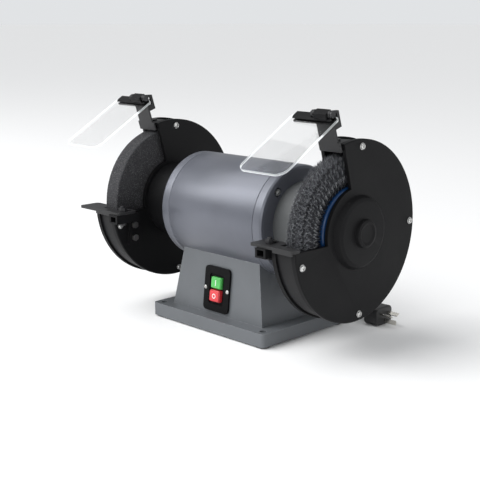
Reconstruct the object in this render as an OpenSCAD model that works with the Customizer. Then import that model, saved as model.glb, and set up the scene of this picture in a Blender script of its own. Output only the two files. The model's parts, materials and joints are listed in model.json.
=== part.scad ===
// Bench grinder with a grinding wheel on the left and a wire wheel on the right.
// X runs along the spindle, Y to the back and Z up. The origin is on the bench,
// at the middle of the four base bolts and straight below the spindle.

/* [Machine] */
// Height of the spindle centre above the bench
spindle_h = 151; // [125:1:185]
// Distance from the middle of the machine to the middle of each wheel
wheel_x = 169; // [140:1:205]

/* [Base] */
// Width of the base flange
base_w = 212; // [210:1:260]
// Depth of the base flange
base_d = 160; // [156:1:195]
// Height of the flange top above the bench
flange_h = 19.5; // [16:0.5:24]
// Corner radius of the flange
flange_r = 5; // [2:0.5:12]
// Width of the pedestal at the flange
ped_w = 170; // [150:1:172]
// Depth of the pedestal at the flange
ped_d = 120; // [100:1:122]
// Width of the pedestal at its top edge
saddle_w = 143; // [120:1:150]
// Depth of the pedestal where its front wall meets the motor
saddle_d = 103; // [85:1:110]
// Wall thickness of the casting
cast_wall = 4; // [3:0.5:6]
// Sideways distance between the bench bolts
bolt_span_x = 190; // [186:1:190]
// Front to back distance between the bench bolts
bolt_span_y = 138; // [134:1:138]
// Radius of the bench bolt holes
bench_hole_r = 4.5; // [3:0.5:5]
// Outer radius of the rubber feet
foot_r = 10; // [8:0.5:10]
// Distance that the feet hold the casting off the bench
foot_gap = 2; // [1:0.5:4]
// Thickness of the sheet that closes the base
cover_t = 1.5; // [1:0.5:3]

/* [Motor] */
// Outer radius of the motor
motor_r = 73; // [62:1:80]
// Distance from the middle of the machine to the face of each end bell
motor_half = 95; // [85:1:100]
// Length of the rim of each end bell
bell_rim = 16.2; // [12:0.2:20]
// Wall thickness of the motor shell
shell_t = 3.7; // [2:0.1:5]
// Outer radius of the rotor
rotor_r = 36; // [28:1:40]
// Length of the rotor and of the stator stack
stack_len = 72; // [50:1:80]
// Air gap between rotor and stator
air_gap = 0.5; // [0.3:0.1:1]
// Depth of the motor bolts inside the motor's outer surface
tie_inset = 13; // [12:0.5:14]
// Radius of the motor bolts
tie_r = 2.5; // [2:0.5:3]

/* [Spindle] */
// Radius of the spindle at the bearings
bearing_seat_r = 10; // [8:0.5:12]
// Radius of the spindle at the wheels
wheel_seat_r = 8; // [6:0.5:9]
// Outer radius of the ball bearings
bearing_r = 23.5; // [20:0.5:26]
// Width of the ball bearings
bearing_w = 14; // [10:1:16]
// Radial clearance of the running fits
run_fit = 0.03; // [0.01:0.01:0.1]

/* [Wheels] */
// Radius of the wheels
wheel_r = 100; // [84:1:120]
// Width of the wheels
wheel_w = 25; // [20:1:30]
// Radius of the clamping flanges
clamp_r = 38; // [30:1:40]
// Thickness of the clamping flanges
clamp_t = 5; // [4:0.5:5]
// Thickness of the paper blotters
blotter_t = 0.8; // [0.5:0.1:1.2]
// Radius of the blue rings that hold the wires
ring_r = 57; // [45:1:70]
// Thickness of the spindle nuts
nut_t = 8; // [6:1:9]

/* [Guards] */
// Gap between the wheel rim and the hoop
rim_gap = 8.5; // [7:0.5:12]
// Gap between the wheel and the inner guard plate
inner_gap = 5.5; // [5:0.5:8]
// Gap between the wheel and the guard cover
outer_gap = 4.5; // [4:0.5:6]
// Sheet thickness of the guards
sheet_t = 2; // [1.5:0.5:2.5]
// Depth of the turned edge of the guard plates
skirt = 7; // [5:0.5:9]
// Radius of the part of the plates that stays beside the wheel
cheek_r = 56.5; // [53:0.5:62]
// Angle of the upper edge of the mouth above the front
mouth_angle = 75; // [65:1:80]
// Radius of the neck between motor and guard
neck_r = 52; // [48:1:52.5]
// Radius of the dome in the guard cover
dome_r = 46; // [44:1:50]
// Depth of the dome in the guard cover
dome_d = 9.5; // [9:0.5:12]
// Radius of the small boss on the dome
boss_r = 18; // [17:0.5:22]
// Depth of the small boss on the dome
boss_d = 6; // [5:0.5:9]
// Shank radius of the guard screws
screw_r = 2; // [1.5:0.5:2.5]

/* [Tool rests] */
// Distance of the top of the tool rests below the spindle centre
rest_drop = 5; // [3:0.5:10]
// Thickness of the tool rests
rest_t = 3.3; // [2.5:0.1:5]
// Width of the part of a tool rest beside its wheel
rest_ear_w = 37; // [30:1:40]
// Width of the part of a tool rest in front of its wheel
rest_front_w = 33; // [30:1:36]
// Depth of a tool rest beside its wheel
rest_ear_d = 32; // [26:1:36]
// Depth of a tool rest in front of its wheel
rest_front_d = 14; // [10:1:15]
// Gap between the wheel rim and the tool rest
rest_gap = 4; // [3:0.5:6]
// Width of the square tube under each tool rest
arm_w = 17; // [15:1:18]
// Height of the square tube under each tool rest
arm_h = 11.8; // [10:0.2:14]
// Length of the square tube under each tool rest
arm_len = 38; // [32:1:40]
// Radius of the tool rest clamp bolts
clamp_bolt_r = 3; // [2.5:0.5:3.5]
// Travel of the tool rests away from the wheel
rest_out = 12; // [6:1:12]
// Travel of the tool rests toward the wheel
rest_in = 2; // [1:0.5:2]

/* [Eye shields] */
// Width of each clear pane
pane_w = 73; // [60:1:80]
// Length of each clear pane
pane_l = 113; // [90:1:130]
// Thickness of each clear pane
pane_t = 3; // [2:0.5:4]
// Corner radius of the panes
pane_r = 14; // [5:1:20]
// Downward slope of the panes
pane_slope = 30.4; // [20:0.1:40]
// Sideways offset of the panes from the wheels
pane_shift = -15; // [-18:1:-8]
// Width of the clamp bar that grips each pane
bar_w = 60; // [50:1:64]
// Angle of the shield strap above the front
strap_angle = 72; // [60:1:76]
// Width of the shield strap
strap_w = 27; // [24:1:30]
// Thickness of the shield strap
strap_t = 2.5; // [2:0.5:3]
// Height of the shield pivot above the wheel rim
pivot_rise = 52.5; // [46:0.5:60]

/* [Switch] */
// Width of the switch plate
switch_w = 47; // [44:1:56]
// Height of the switch plate
switch_h = 60; // [52:1:66]
// Height of the middle of the switch above the bench
switch_z = 53.5; // [51:0.5:56]
// Width of each button
button_w = 19; // [14:1:22]
// Height of each button
button_h = 15.5; // [12:0.5:18]
// Travel of each button
button_travel = 3; // [2:0.5:4]

/* [Cord] */
// Diameter of the mains cord
cord_d = 7; // [6:0.5:8]

/* [Hidden] */
$fn = 64;

eps = 0.01;
body_gap = 0.3;

// Base
ped_top_z = spindle_h - sqrt(motor_r * motor_r - saddle_d * saddle_d / 4);
front_lean = atan((ped_d - saddle_d) / 2 / (ped_top_z - flange_h));
side_lean = atan((ped_w - saddle_w) / 2 / (ped_top_z - flange_h));
lug_r = foot_r + 1.5;
foot_seat = foot_gap + 3;
cover_z = foot_gap + 2.8;
cover_w = ped_w - 2 * cast_wall - 1;
cover_d = ped_d - 2 * cast_wall - 1;
cover_lug_x = cover_w / 2 - 6;
cover_lug_y = cover_d / 2 - 6;
cover_lug_r = 5;
cover_lug_h = 26;
stud_x = 45;
stud_r = 3;
stud_nut_t = 5;
cap_r = 16;
cap_l = 56;
cap_x = -40;
cap_y = 22;
cap_z = cover_z + cover_t + cap_r + 3;
block_x = 36;
block_y = 30;
block_w = 36;
block_d = 16;
block_h = 16;
block_pitch = 8;

// Motor, measured along X from the middle
seam_x = motor_half - bell_rim;
bell_face_t = 5;
spigot_r = motor_r - shell_t - 0.1;
tie_pcr = motor_r - tie_inset;
tie_head_r = 4.25;
tie_recess_r = 6.5;
tie_recess_d = 4.5;
hub_r = bearing_r + 6;
bearing_out_x = motor_half + 7;
bearing_in_x = bearing_out_x - bearing_w;
hub_end_x = bearing_out_x + 4;
rotor_seat_r = bearing_seat_r + 2;
winding_len = 21;
race_t = 4;

// Wheels and guards, measured along X from the middle
wheel_in_x = wheel_x - wheel_w / 2;
wheel_out_x = wheel_x + wheel_w / 2;
plate_in_x = wheel_in_x - inner_gap - sheet_t;
plate_out_x = wheel_out_x + outer_gap + sheet_t;
shoulder_x = wheel_in_x - blotter_t - clamp_t;
nut_x = wheel_out_x + blotter_t + clamp_t;
spindle_end_x = nut_x + nut_t + 2.5;
nut_r = 13.6;
hoop_r = wheel_r + rim_gap;
skirt_in_r = hoop_r + sheet_t + 0.8;
guard_r = skirt_in_r + sheet_t;
lug_pcr = wheel_r + 4.5;
lug_w = 10;
lug_t = 3.4;
screw_head_r = 4.3;
screw_head_t = 2.8;
screw_angles = [-15, 92, 180, 267];
neck_t = 4;
neck_flange = 3;
neck_pcr = neck_r - 7.5;
neck_hole_r = clamp_r + 2.5;

// Tool rests
rest_top = -rest_drop;
rest_bottom = rest_top - rest_t;
mouth_floor = rest_bottom - 0.4;
lip_t = 1.5;
lip_d = 3;
arm_top = rest_bottom - body_gap;
rest_front_y = -(wheel_r + rest_gap + rest_front_d);
rest_rear_y = rest_front_y + rest_ear_d;
rest_corner = 6;
arm_in_x = plate_in_x - 1 - arm_w;
arm_mid_x = arm_in_x + arm_w / 2;
arm_front_y = rest_front_y - 2.5;
clamp_y = rest_front_y + rest_front_d;
rest_shift = -rest_ear_w - wheel_w / 2 - 0.5;
bracket_bolt_y = 21 - wheel_r;
bracket_bolt_z = [-28, -46];
bracket_bolt_r = 3;
bracket_head_t = 4;
bracket_nut_t = 3.5;
leg_t = 3;
leg_w = 20;
hex_r = 5.5;
clamp_head_t = 4;
clamp_nut_t = 5;

// Eye shields, measured from the spindle centre
pivot_r = wheel_r + pivot_rise;
ear_t = 3;
ear_r = 4.6;
ear_back = 13;
spark_w = 33;
foot_w = 22;
foot_t = 2.5;
ear_span = strap_w - 2 * ear_t;
pin_r = 2.4;
pin_fit = 0.05;
pin_head_t = 3;
pin_head_r = 4.2;
bar_low = 10.3;
bar_high = 2.7;
pane_drop = (bar_low + bar_high) / 2;
bar_front = 7;
bar_rear = 5;
knuckle_r = 4.2;
pane_rear = 3;
pane_rear_r = 6;
foot_arc = 13;
strap_screw_angle = strap_angle + 8;

// Switch, measured along the leaning front wall
switch_depth = 26;
switch_open_w = switch_w - 8;
switch_open_h = switch_h - 12;
plate_screw_x = switch_w / 2 - 2.9;
plate_screw_r = 1.6;
button_gap = 2;
red_rise = 4;
green_rise = 2.5;
plate_t = 3;
well_rim = 9.8;
well_d = 1.7;

// Mains cord, whose points and coil keep the places chosen here
cord_r = cord_d / 2;
gland_x = 26;
gland_z = 34;
gland_bore_r = 7;
coil_centre = [-30, 139];
coil_in_r = 26.5;
coil_out_r = 47.5;
coil_z = 0.8;
coil_low_h = 14;
coil_high_h = 21;
gland_wall_y = wall_y(gland_z);
gland_flange_r = 9.5;
gland_tip_y = 86;
lead_route = [
    [26, 86, 34], [26, 93, 33.5], [26, 100, 32], [26, 106, 28.5], [26, 112, 23.5],
    [26, 117, 17.5], [26, 122, 11.5], [26, 128, 7], [26, 135, 4.5], [26, 143, 4.3],
    [24, 152, 4.3], [20, 161, 4.3], [13, 169, 4.3], [4, 175, 4.3], [-6, 179, 4.3], [-16, 181, 4.3]
];
tail_route = [
    [-30, 95, 18.3], [-20, 95, 18], [-10, 95, 16.5], [0, 95, 14], [10, 94, 11], [20, 93, 7.5],
    [30, 91, 4.5], [40, 89, 3.5], [49, 88, 3.5], [58, 88, 3.5], [67, 89.5, 3.5], [75.5, 93.5, 4.5],
    [82, 100, 7], [88.5, 106.5, 10], [96.5, 110.5, 12.5], [106, 112, 13]
];
plug_x = 106;
plug_y = 112;
plug_z = 13;
plug_boot = 20;
plug_body_l = 22;
plug_w = 34;
plug_h = 25;
pin_l = 17.5;
pin_w = 6.2;
pin_t = 1.6;

// Depth of the pedestal's outer front face from the middle, at a height z
function wall_y(z) = ped_d / 2 - (z - flange_h) * tan(front_lean);

// Direction of a route at point i
function route_dir(p, i) =
    let (a = p[max(i - 1, 0)], b = p[min(i + 1, len(p) - 1)])
    (b - a) / norm(b - a);

// One ring of a round tube about point i of a route
function tube_ring(p, i, r, n) =
    let (d = route_dir(p, i), s = cross([0, 0, 1], d), u = s / norm(s), v = cross(d, u))
    [for (k = [0 : n - 1]) p[i] + r * (cos(360 * k / n) * u + sin(360 * k / n) * v)];

// A closed round tube along a route
module tube(p, r, n = 10) {
    rings = [for (i = [0 : len(p) - 1]) each tube_ring(p, i, r, n)];
    last = (len(p) - 1) * n;
    sides = [
        for (i = [0 : len(p) - 2], k = [0 : n - 1])
        [i * n + k, i * n + (k + 1) % n, (i + 1) * n + (k + 1) % n, (i + 1) * n + k]
    ];
    ends = [[for (k = [n - 1 : -1 : 0]) k], [for (k = [0 : n - 1]) last + k]];
    polyhedron(rings, concat(sides, ends), convexity = 6);
}

// Mirrors its children to the left side when side is -1
module on_side(side) {
    mirror([side < 0 ? 1 : 0, 0, 0]) children();
}

// Moves its children from the spindle centre to their height
module at_spindle() {
    translate([0, 0, spindle_h]) children();
}

// Extrudes an outline drawn in Y and Z along X, from x0 to x1
module along_x(x0, x1) {
    translate([x0, 0, 0]) rotate([90, 0, 90]) linear_extrude(x1 - x0, convexity = 6) children();
}

// Solid cylinder about X, from x0 to x1
module bar_x(r, x0, x1, fn = 96) {
    translate([x0, 0, 0]) rotate([0, 90, 0]) cylinder(r = r, h = x1 - x0, $fn = fn);
}

// Ring about X, from x0 to x1
module ring_x(r_out, r_in, x0, x1, fn = 96) {
    difference() {
        bar_x(r_out, x0, x1, fn);
        bar_x(r_in, x0 - 1, x1 + 1, fn);
    }
}

// Places its children at an angle above the front, at a radius from the spindle
module at_angle(a, r) {
    translate([0, -r * cos(a), r * sin(a)]) children();
}

// Turns its children so that local Z points away from the spindle and local Y to the back
module facing_out(a) {
    rotate([90 - a, 0, 0]) children();
}

// Rectangle with rounded corners, centred
module round_rect(w, d, r) {
    square([w - 2 * r, d], center = true);
    square([w, d - 2 * r], center = true);
    for (x = [-1, 1], y = [-1, 1])
        translate([x * (w / 2 - r), y * (d / 2 - r)]) circle(r, $fn = 48);
}

// Pan head screw: head from z = 0 to head_t, shank down to -len
module pan_screw(r, len, head_r, head_t) {
    translate([0, 0, -len]) cylinder(r = r, h = len + 0.5, $fn = 32);
    difference() {
        cylinder(r1 = head_r, r2 = head_r - 0.8, h = head_t, $fn = 32);
        for (a = [0, 90])
            rotate(a) translate([-head_r * 0.55, -0.5, head_t - 1.2]) cube([head_r * 1.1, 1, 2]);
    }
}

// The four corners of a rectangle
module four(x, y) {
    for (i = [-1, 1], j = [-1, 1]) translate([i * x, j * y, 0]) children();
}

// Tapered block under the motor: outer shape, or the hollow when inset by a wall
module pedestal_block(inset, z0, z1) {
    front = ped_d / 2 - inset / cos(front_lean);
    side = ped_w / 2 - inset / cos(side_lean);
    front_at = [for (z = [z0, z1]) front - (z - flange_h) * tan(front_lean)];
    side_at = [for (z = [z0, z1]) side - (z - flange_h) * tan(side_lean)];
    intersection() {
        along_x(-ped_w, ped_w)
            polygon([[-front_at[0], z0], [front_at[0], z0], [front_at[1], z1], [-front_at[1], z1]]);
        rotate([90, 0, 0]) translate([0, 0, -ped_d]) linear_extrude(2 * ped_d)
            polygon([[-side_at[0], z0], [side_at[0], z0], [side_at[1], z1], [-side_at[1], z1]]);
    }
}

// Moves its children to the middle of the leaning front wall, Z pointing out of it
module on_front_wall(z = switch_z) {
    translate([0, -wall_y(z), z]) rotate([90 - front_lean, 0, 0]) children();
}

module base_casting() {
    color("#767a80") difference() {
        union() {
            translate([0, 0, foot_gap]) linear_extrude(flange_h - foot_gap)
                round_rect(base_w, base_d, flange_r);
            pedestal_block(0, flange_h - eps, ped_top_z);
        }
        // Hollow of the flange, leaving lugs round the bench bolts and the cover screws
        difference() {
            translate([0, 0, foot_gap - 1]) linear_extrude(flange_h - cast_wall - foot_gap + 1)
                round_rect(base_w - 2 * cast_wall, base_d - 2 * cast_wall, flange_r);
            four(bolt_span_x / 2, bolt_span_y / 2) cylinder(r = lug_r, h = flange_h);
            four(cover_lug_x, cover_lug_y)
                translate([0, 0, cover_z + cover_t]) cylinder(r = cover_lug_r, h = flange_h);
        }
        // Hollow of the pedestal, up to the saddle under the motor
        difference() {
            pedestal_block(cast_wall, flange_h - cast_wall - 1, ped_top_z + 1);
            at_spindle() bar_x(motor_r + cast_wall, -ped_w, ped_w);
            four(cover_lug_x, cover_lug_y) cylinder(r = cover_lug_r, h = flange_h + cover_lug_h);
        }
        at_spindle() bar_x(motor_r, -ped_w, ped_w);
        four(bolt_span_x / 2, bolt_span_y / 2) {
            translate([0, 0, -1]) cylinder(r = bench_hole_r, h = flange_h + 2);
            cylinder(r = foot_r + 0.2, h = foot_seat);
        }
        four(cover_lug_x, cover_lug_y) cylinder(r = screw_r, h = flange_h + 4);
        on_front_wall() translate([0, 0, -cast_wall - 3])
            linear_extrude(cast_wall + 6) square([switch_open_w, switch_open_h], center = true);
        translate([gland_x, 0, gland_z]) rotate([-90, 0, 0]) cylinder(r = gland_bore_r, h = ped_d, $fn = 48);
        for (i = [-1, 1]) translate([i * stud_x, 0, 0])
            cylinder(r = stud_r + 0.2, h = spindle_h, $fn = 32);
    }
}

module base_cover() {
    color("#8d9094") translate([0, 0, cover_z]) difference() {
        linear_extrude(cover_t) round_rect(cover_w, cover_d, 4);
        four(cover_lug_x, cover_lug_y) translate([0, 0, -1]) cylinder(r = screw_r + 0.3, h = cover_t + 2);
        for (i = [-2 : 2]) translate([i * 18, 0, -1])
            linear_extrude(cover_t + 2) round_rect(5, 40, 2.4);
    }
}

module base_cover_screws() {
    color("#c2c4c6") four(cover_lug_x, cover_lug_y)
        translate([0, 0, cover_z]) rotate([180, 0, 0]) pan_screw(screw_r - 0.05, 11, 3.6, 2);
}

module rubber_feet() {
    color("#222222") four(bolt_span_x / 2, bolt_span_y / 2) difference() {
        cylinder(r = foot_r, h = foot_seat);
        translate([0, 0, -1]) cylinder(r = bench_hole_r, h = foot_seat + 2);
    }
}

module capacitor() {
    color("#3b3f46") translate([cap_x, cap_y, cap_z]) {
        bar_x(cap_r, -cap_l / 2, cap_l / 2);
        bar_x(cap_r - 3, cap_l / 2 - eps, cap_l / 2 + 3);
        for (i = [-1, 1]) translate([cap_l / 2 + 3, i * 5, -1]) cube([7, 0.8, 6]);
    }
}

module capacitor_clamp() {
    foot = cap_z - cover_z - cover_t;
    color("#b9bbbd") translate([cap_x, cap_y, cap_z]) difference() {
        union() {
            bar_x(cap_r + 1.2, -7, 7);
            along_x(-7, 7) translate([-cap_r - 10, -foot]) square([2 * cap_r + 20, 1.2]);
            along_x(-7, 7) translate([-cap_r - 1.2, -foot]) square([2 * cap_r + 2.4, foot]);
        }
        bar_x(cap_r, -8, 8);
        along_x(-8, 8) translate([-cap_r, -foot - 1]) square([2 * cap_r, foot + 1]);
    }
}

module terminal_block() {
    color("#e6e2d6") translate([block_x, block_y, cover_z + cover_t]) difference() {
        linear_extrude(block_h) round_rect(block_w, block_d, 2);
        for (i = [-1.5 : 1.5]) translate([i * block_pitch, 0, block_h - 6])
            cylinder(r = 2, h = block_h, $fn = 32);
    }
}

module switch_plate() {
    color("#1c1c1e") on_front_wall() difference() {
        linear_extrude(plate_t) round_rect(switch_w, switch_h, 6);
        translate([0, 0, plate_t - well_d]) linear_extrude(2 * well_d)
            round_rect(switch_w - 2 * well_rim, switch_h - 2 * well_rim, 3);
        translate([0, 0, -1]) linear_extrude(plate_t + 2)
            square([button_w + 1.2, 2 * button_h + button_gap + 1.2], center = true);
        for (i = [-1, 1]) translate([i * plate_screw_x, 0, -1])
            cylinder(r = plate_screw_r + 0.1, h = plate_t + 2, $fn = 32);
    }
}

module switch_plate_screws() {
    color("#c2c4c6") on_front_wall()
        for (i = [-1, 1]) translate([i * plate_screw_x, 0, plate_t])
            pan_screw(plate_screw_r, plate_t, plate_screw_r + 1, 1.4);
}

module switch_body() {
    color("#2a2a2c") on_front_wall() difference() {
        translate([0, 0, -switch_depth]) linear_extrude(switch_depth - 0.1)
            round_rect(switch_open_w - 1, switch_open_h - 1, 2);
        translate([0, 0, -button_travel - 4.5]) linear_extrude(20)
            square([button_w + 0.8, 2 * button_h + button_gap + 0.8], center = true);
    }
}

// A push button: cap with a rounded front edge
module button(z_mid, rise) {
    on_front_wall() translate([0, z_mid, -4]) {
        linear_extrude(plate_t + 4 + rise - 1.2) round_rect(button_w, button_h, 2);
        linear_extrude(plate_t + 4 + rise) round_rect(button_w - 2, button_h - 2, 2);
    }
}

module green_button() {
    color("#58be5a") button((button_h + button_gap) / 2, green_rise);
}

module red_button() {
    color("#dc3c41") button(-(button_h + button_gap) / 2, red_rise);
}

module cord_gland() {
    back = gland_wall_y;
    flange_y = wall_y(gland_z - gland_flange_r);
    color("#1e1e20") translate([gland_x, 0, gland_z]) rotate([-90, 0, 0]) difference() {
        union() {
            translate([0, 0, back - cast_wall - 5.5]) {
                cylinder(r = gland_bore_r - 0.1, h = cast_wall + 6, $fn = 48);
                cylinder(r = gland_bore_r + 2, h = 2, $fn = 48);
            }
            translate([0, 0, flange_y]) cylinder(r = gland_flange_r, h = 3, $fn = 48);
            translate([0, 0, back - eps])
                cylinder(r = gland_bore_r - 0.1, h = flange_y - back + 1, $fn = 48);
            translate([0, 0, flange_y + 2]) cylinder(
                r1 = gland_bore_r + 0.5, r2 = cord_r + 1.5,
                h = gland_tip_y - flange_y - 2, $fn = 48
            );
        }
        translate([0, 0, back - cast_wall - 6]) cylinder(r = cord_r, h = cast_wall + 60, $fn = 48);
    }
}

module cord_lead() {
    color("#161618") tube(lead_route, cord_r);
}

module cord_coil() {
    color("#161618") translate([coil_centre[0], coil_centre[1], coil_z]) rotate_extrude($fn = 96)
        polygon([
            [coil_in_r, 0], [coil_out_r, 0], [coil_out_r, coil_high_h],
            [coil_out_r - cord_d, coil_high_h], [coil_out_r - cord_d, coil_low_h], [coil_in_r, coil_low_h]
        ]);
}

module cord_tie() {
    w = coil_out_r - coil_in_r;
    color("#3a3a3e") translate([coil_centre[0] - coil_in_r - w / 2, coil_centre[1], 0]) difference() {
        translate([-w / 2 - 1, -5, 0]) cube([w + 2, 10, coil_z + coil_high_h + 1]);
        translate([-w / 2, -6, coil_z]) cube([w, 12, coil_high_h]);
    }
}

module cord_tail() {
    color("#161618") tube(tail_route, cord_r);
}

module plug_body() {
    color("#1b1b1d") translate([plug_x, plug_y, plug_z]) {
        rotate([0, 90, 0]) cylinder(r1 = cord_r + 1, r2 = 7, h = plug_boot, $fn = 48);
        along_x(plug_boot - eps, plug_boot + plug_body_l) round_rect(plug_w, plug_h, 8);
    }
}

module plug_pins() {
    face = plug_x + plug_boot + plug_body_l;
    color("#c9c9c4") translate([face, plug_y, plug_z]) {
        for (i = [-1, 1]) translate([0, i * 7, 3]) rotate([i * 30, 0, 0])
            translate([0, -pin_w / 2, -pin_t / 2]) cube([pin_l, pin_w, pin_t]);
        translate([0, -pin_t / 2, -9.5]) cube([pin_l + 2, pin_t, pin_w]);
    }
}

module motor_housing() {
    color("#8b8f97") at_spindle() difference() {
        rotate([0, 90, 0]) rotate_extrude($fn = 128)
            polygon([
                [motor_r - shell_t, -seam_x], [motor_r - 0.8, -seam_x], [motor_r, -seam_x + 0.8],
                [motor_r, seam_x - 0.8], [motor_r - 0.8, seam_x], [motor_r - shell_t, seam_x]
            ]);
        for (i = [-1, 1]) translate([i * stud_x, 0, -motor_r - 1])
            cylinder(r = stud_r, h = shell_t, $fn = 32);
    }
}

// One end bell, drawn on the right side
module end_bell() {
    at_spindle() difference() {
        union() {
            rotate([0, 90, 0]) rotate_extrude($fn = 128)
                polygon([
                    [spigot_r - 3, seam_x - 6], [spigot_r, seam_x - 6], [spigot_r, seam_x],
                    [motor_r - 0.8, seam_x], [motor_r, seam_x + 0.8], [motor_r, motor_half - 4],
                    [motor_r - 1.5, motor_half - 1.2], [motor_r - 5, motor_half],
                    [hub_r, motor_half], [hub_r, hub_end_x], [bearing_seat_r + 1, hub_end_x],
                    [bearing_seat_r + 1, bearing_out_x], [bearing_r, bearing_out_x],
                    [bearing_r, bearing_in_x - 2], [hub_r, bearing_in_x - 2],
                    [hub_r, motor_half - bell_face_t], [spigot_r - 3, motor_half - bell_face_t]
                ]);
            for (a = [45 : 90 : 315]) at_angle(a, tie_pcr)
                bar_x(tie_recess_r + 1.8, motor_half - tie_recess_d - 3, motor_half - 1, 48);
        }
        for (a = [45 : 90 : 315]) at_angle(a, tie_pcr) {
            bar_x(tie_r + 0.1, 0, motor_half + 1, 32);
            bar_x(tie_recess_r, motor_half - tie_recess_d, motor_half + 1, 48);
        }
        for (a = [0 : 90 : 270]) at_angle(a, neck_pcr)
            bar_x(screw_r, motor_half - bell_face_t - 1, motor_half + 1, 32);
    }
}

module left_end_bell() {
    color("#858990") on_side(-1) end_bell();
}

module right_end_bell() {
    color("#858990") end_bell();
}

module tie_bolts() {
    head_x = motor_half - tie_recess_d;
    color("#9ea0a2") at_spindle() for (a = [45 : 90 : 315]) at_angle(a, tie_pcr) {
        bar_x(tie_r, -head_x - 0.5, head_x + 0.5, 32);
        difference() {
            bar_x(tie_head_r, head_x, head_x + 4, 48);
            bar_x(2.1, head_x + 1.5, head_x + 5, 6);
        }
        bar_x(tie_head_r, -head_x - 4, -head_x, 6);
    }
}

module motor_studs() {
    top = spindle_h - motor_r + shell_t - 1;
    nut_top = spindle_h - motor_r - cast_wall;
    color("#9ea0a2") for (i = [-1, 1]) translate([i * stud_x, 0, 0]) {
        translate([0, 0, nut_top - stud_nut_t - 3])
            cylinder(r = stud_r - 0.05, h = top - nut_top + stud_nut_t + 3, $fn = 32);
        translate([0, 0, nut_top - stud_nut_t]) cylinder(r = hex_r, h = stud_nut_t, $fn = 6);
    }
}

module stator_core() {
    color("#55585c") at_spindle() difference() {
        ring_x(motor_r - shell_t - 0.05, rotor_r + air_gap, -stack_len / 2, stack_len / 2, 128);
        for (a = [45 : 90 : 315]) at_angle(a, tie_pcr)
            bar_x(tie_r + 0.3, -stack_len, stack_len, 32);
    }
}

module stator_windings() {
    start = stack_len / 2;
    end = start + winding_len;
    inner = rotor_r + 3;
    outer = tie_pcr - tie_r - 2.5;
    round = (outer - inner) / 5;
    color("#a4552a") at_spindle() for (side = [-1, 1]) on_side(side)
        rotate([0, 90, 0]) rotate_extrude($fn = 96)
            polygon([
                [inner, start], [outer, start], [outer, end - 1.5 * round], [outer - round, end],
                [inner + round, end], [inner, end - round]
            ]);
}

module rotor_core() {
    color("#77797c") at_spindle() difference() {
        union() {
            bar_x(rotor_r, -stack_len / 2, stack_len / 2, 128);
            bar_x(rotor_r - 2, -stack_len / 2 - 6, stack_len / 2 + 6);
        }
        bar_x(rotor_seat_r, -stack_len, stack_len);
        for (side = [-1, 1]) on_side(side)
            bar_x(rotor_r - 11, stack_len / 2 + eps, stack_len / 2 + 7);
    }
}

module spindle() {
    color("#b4b6b8") at_spindle() {
        bar_x(rotor_seat_r, -bearing_in_x + 2, bearing_in_x - 2);
        for (side = [-1, 1]) on_side(side) {
            bar_x(bearing_seat_r, bearing_in_x - 3, shoulder_x);
            bar_x(wheel_seat_r, shoulder_x - 1, spindle_end_x - 1);
            translate([spindle_end_x - 1, 0, 0]) rotate([0, 90, 0])
                cylinder(r1 = wheel_seat_r, r2 = wheel_seat_r - 1, h = 1);
        }
    }
}

module bearing_outer_rings() {
    color("#a9abad") at_spindle() for (side = [-1, 1]) on_side(side)
        ring_x(bearing_r, bearing_seat_r + race_t + 0.1, bearing_in_x, bearing_out_x);
}

module bearing_inner_rings() {
    color("#a9abad") at_spindle() for (side = [-1, 1]) on_side(side)
        ring_x(bearing_seat_r + race_t + 0.1 - run_fit, bearing_seat_r, bearing_in_x, bearing_out_x);
}

module grinding_wheel() {
    color("#3a3a3d") at_spindle() on_side(-1) difference() {
        rotate([0, 90, 0]) rotate_extrude($fn = 180)
            polygon([
                [wheel_seat_r + 0.05, wheel_in_x], [wheel_r - 0.8, wheel_in_x], [wheel_r, wheel_in_x + 0.8],
                [wheel_r, wheel_out_x - 0.8], [wheel_r - 0.8, wheel_out_x],
                [wheel_seat_r + 0.05, wheel_out_x]
            ]);
    }
}

module wheel_blotters() {
    color("#9c8f6f") at_spindle() on_side(-1) {
        ring_x(clamp_r + 2, wheel_seat_r + 0.2, wheel_in_x - blotter_t, wheel_in_x);
        ring_x(clamp_r + 2, wheel_seat_r + 0.2, wheel_out_x, wheel_out_x + blotter_t);
    }
}

module wire_bristles() {
    tip = wheel_w / 2 - 0.5;
    root = 5;
    hold = ring_r - 9;
    color("#57585a") at_spindle() rotate([0, 90, 0]) rotate_extrude($fn = 180)
        polygon([
            [hold, wheel_x - root], [ring_r, wheel_x - root], [ring_r + 9, wheel_x - tip + 1],
            [wheel_r - 7, wheel_x - tip], [wheel_r, wheel_x - tip + 3],
            [wheel_r, wheel_x + tip - 3], [wheel_r - 7, wheel_x + tip],
            [ring_r + 9, wheel_x + tip - 1], [ring_r, wheel_x + root], [hold, wheel_x + root]
        ]);
}

module brush_rings() {
    root = 5;
    hold = ring_r - 9;
    color("#0d3a70") at_spindle() rotate([0, 90, 0]) rotate_extrude($fn = 128)
        polygon([
            [wheel_seat_r + 0.05, wheel_in_x - blotter_t], [clamp_r + 3, wheel_in_x - blotter_t],
            [clamp_r + 6, wheel_in_x], [ring_r - 2, wheel_in_x], [ring_r, wheel_in_x + 2],
            [ring_r, wheel_x - root], [hold, wheel_x - root], [hold, wheel_x + root],
            [ring_r, wheel_x + root], [ring_r, wheel_out_x - 2], [ring_r - 2, wheel_out_x],
            [clamp_r + 6, wheel_out_x], [clamp_r + 3, wheel_out_x + blotter_t],
            [wheel_seat_r + 0.05, wheel_out_x + blotter_t]
        ]);
}

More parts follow.
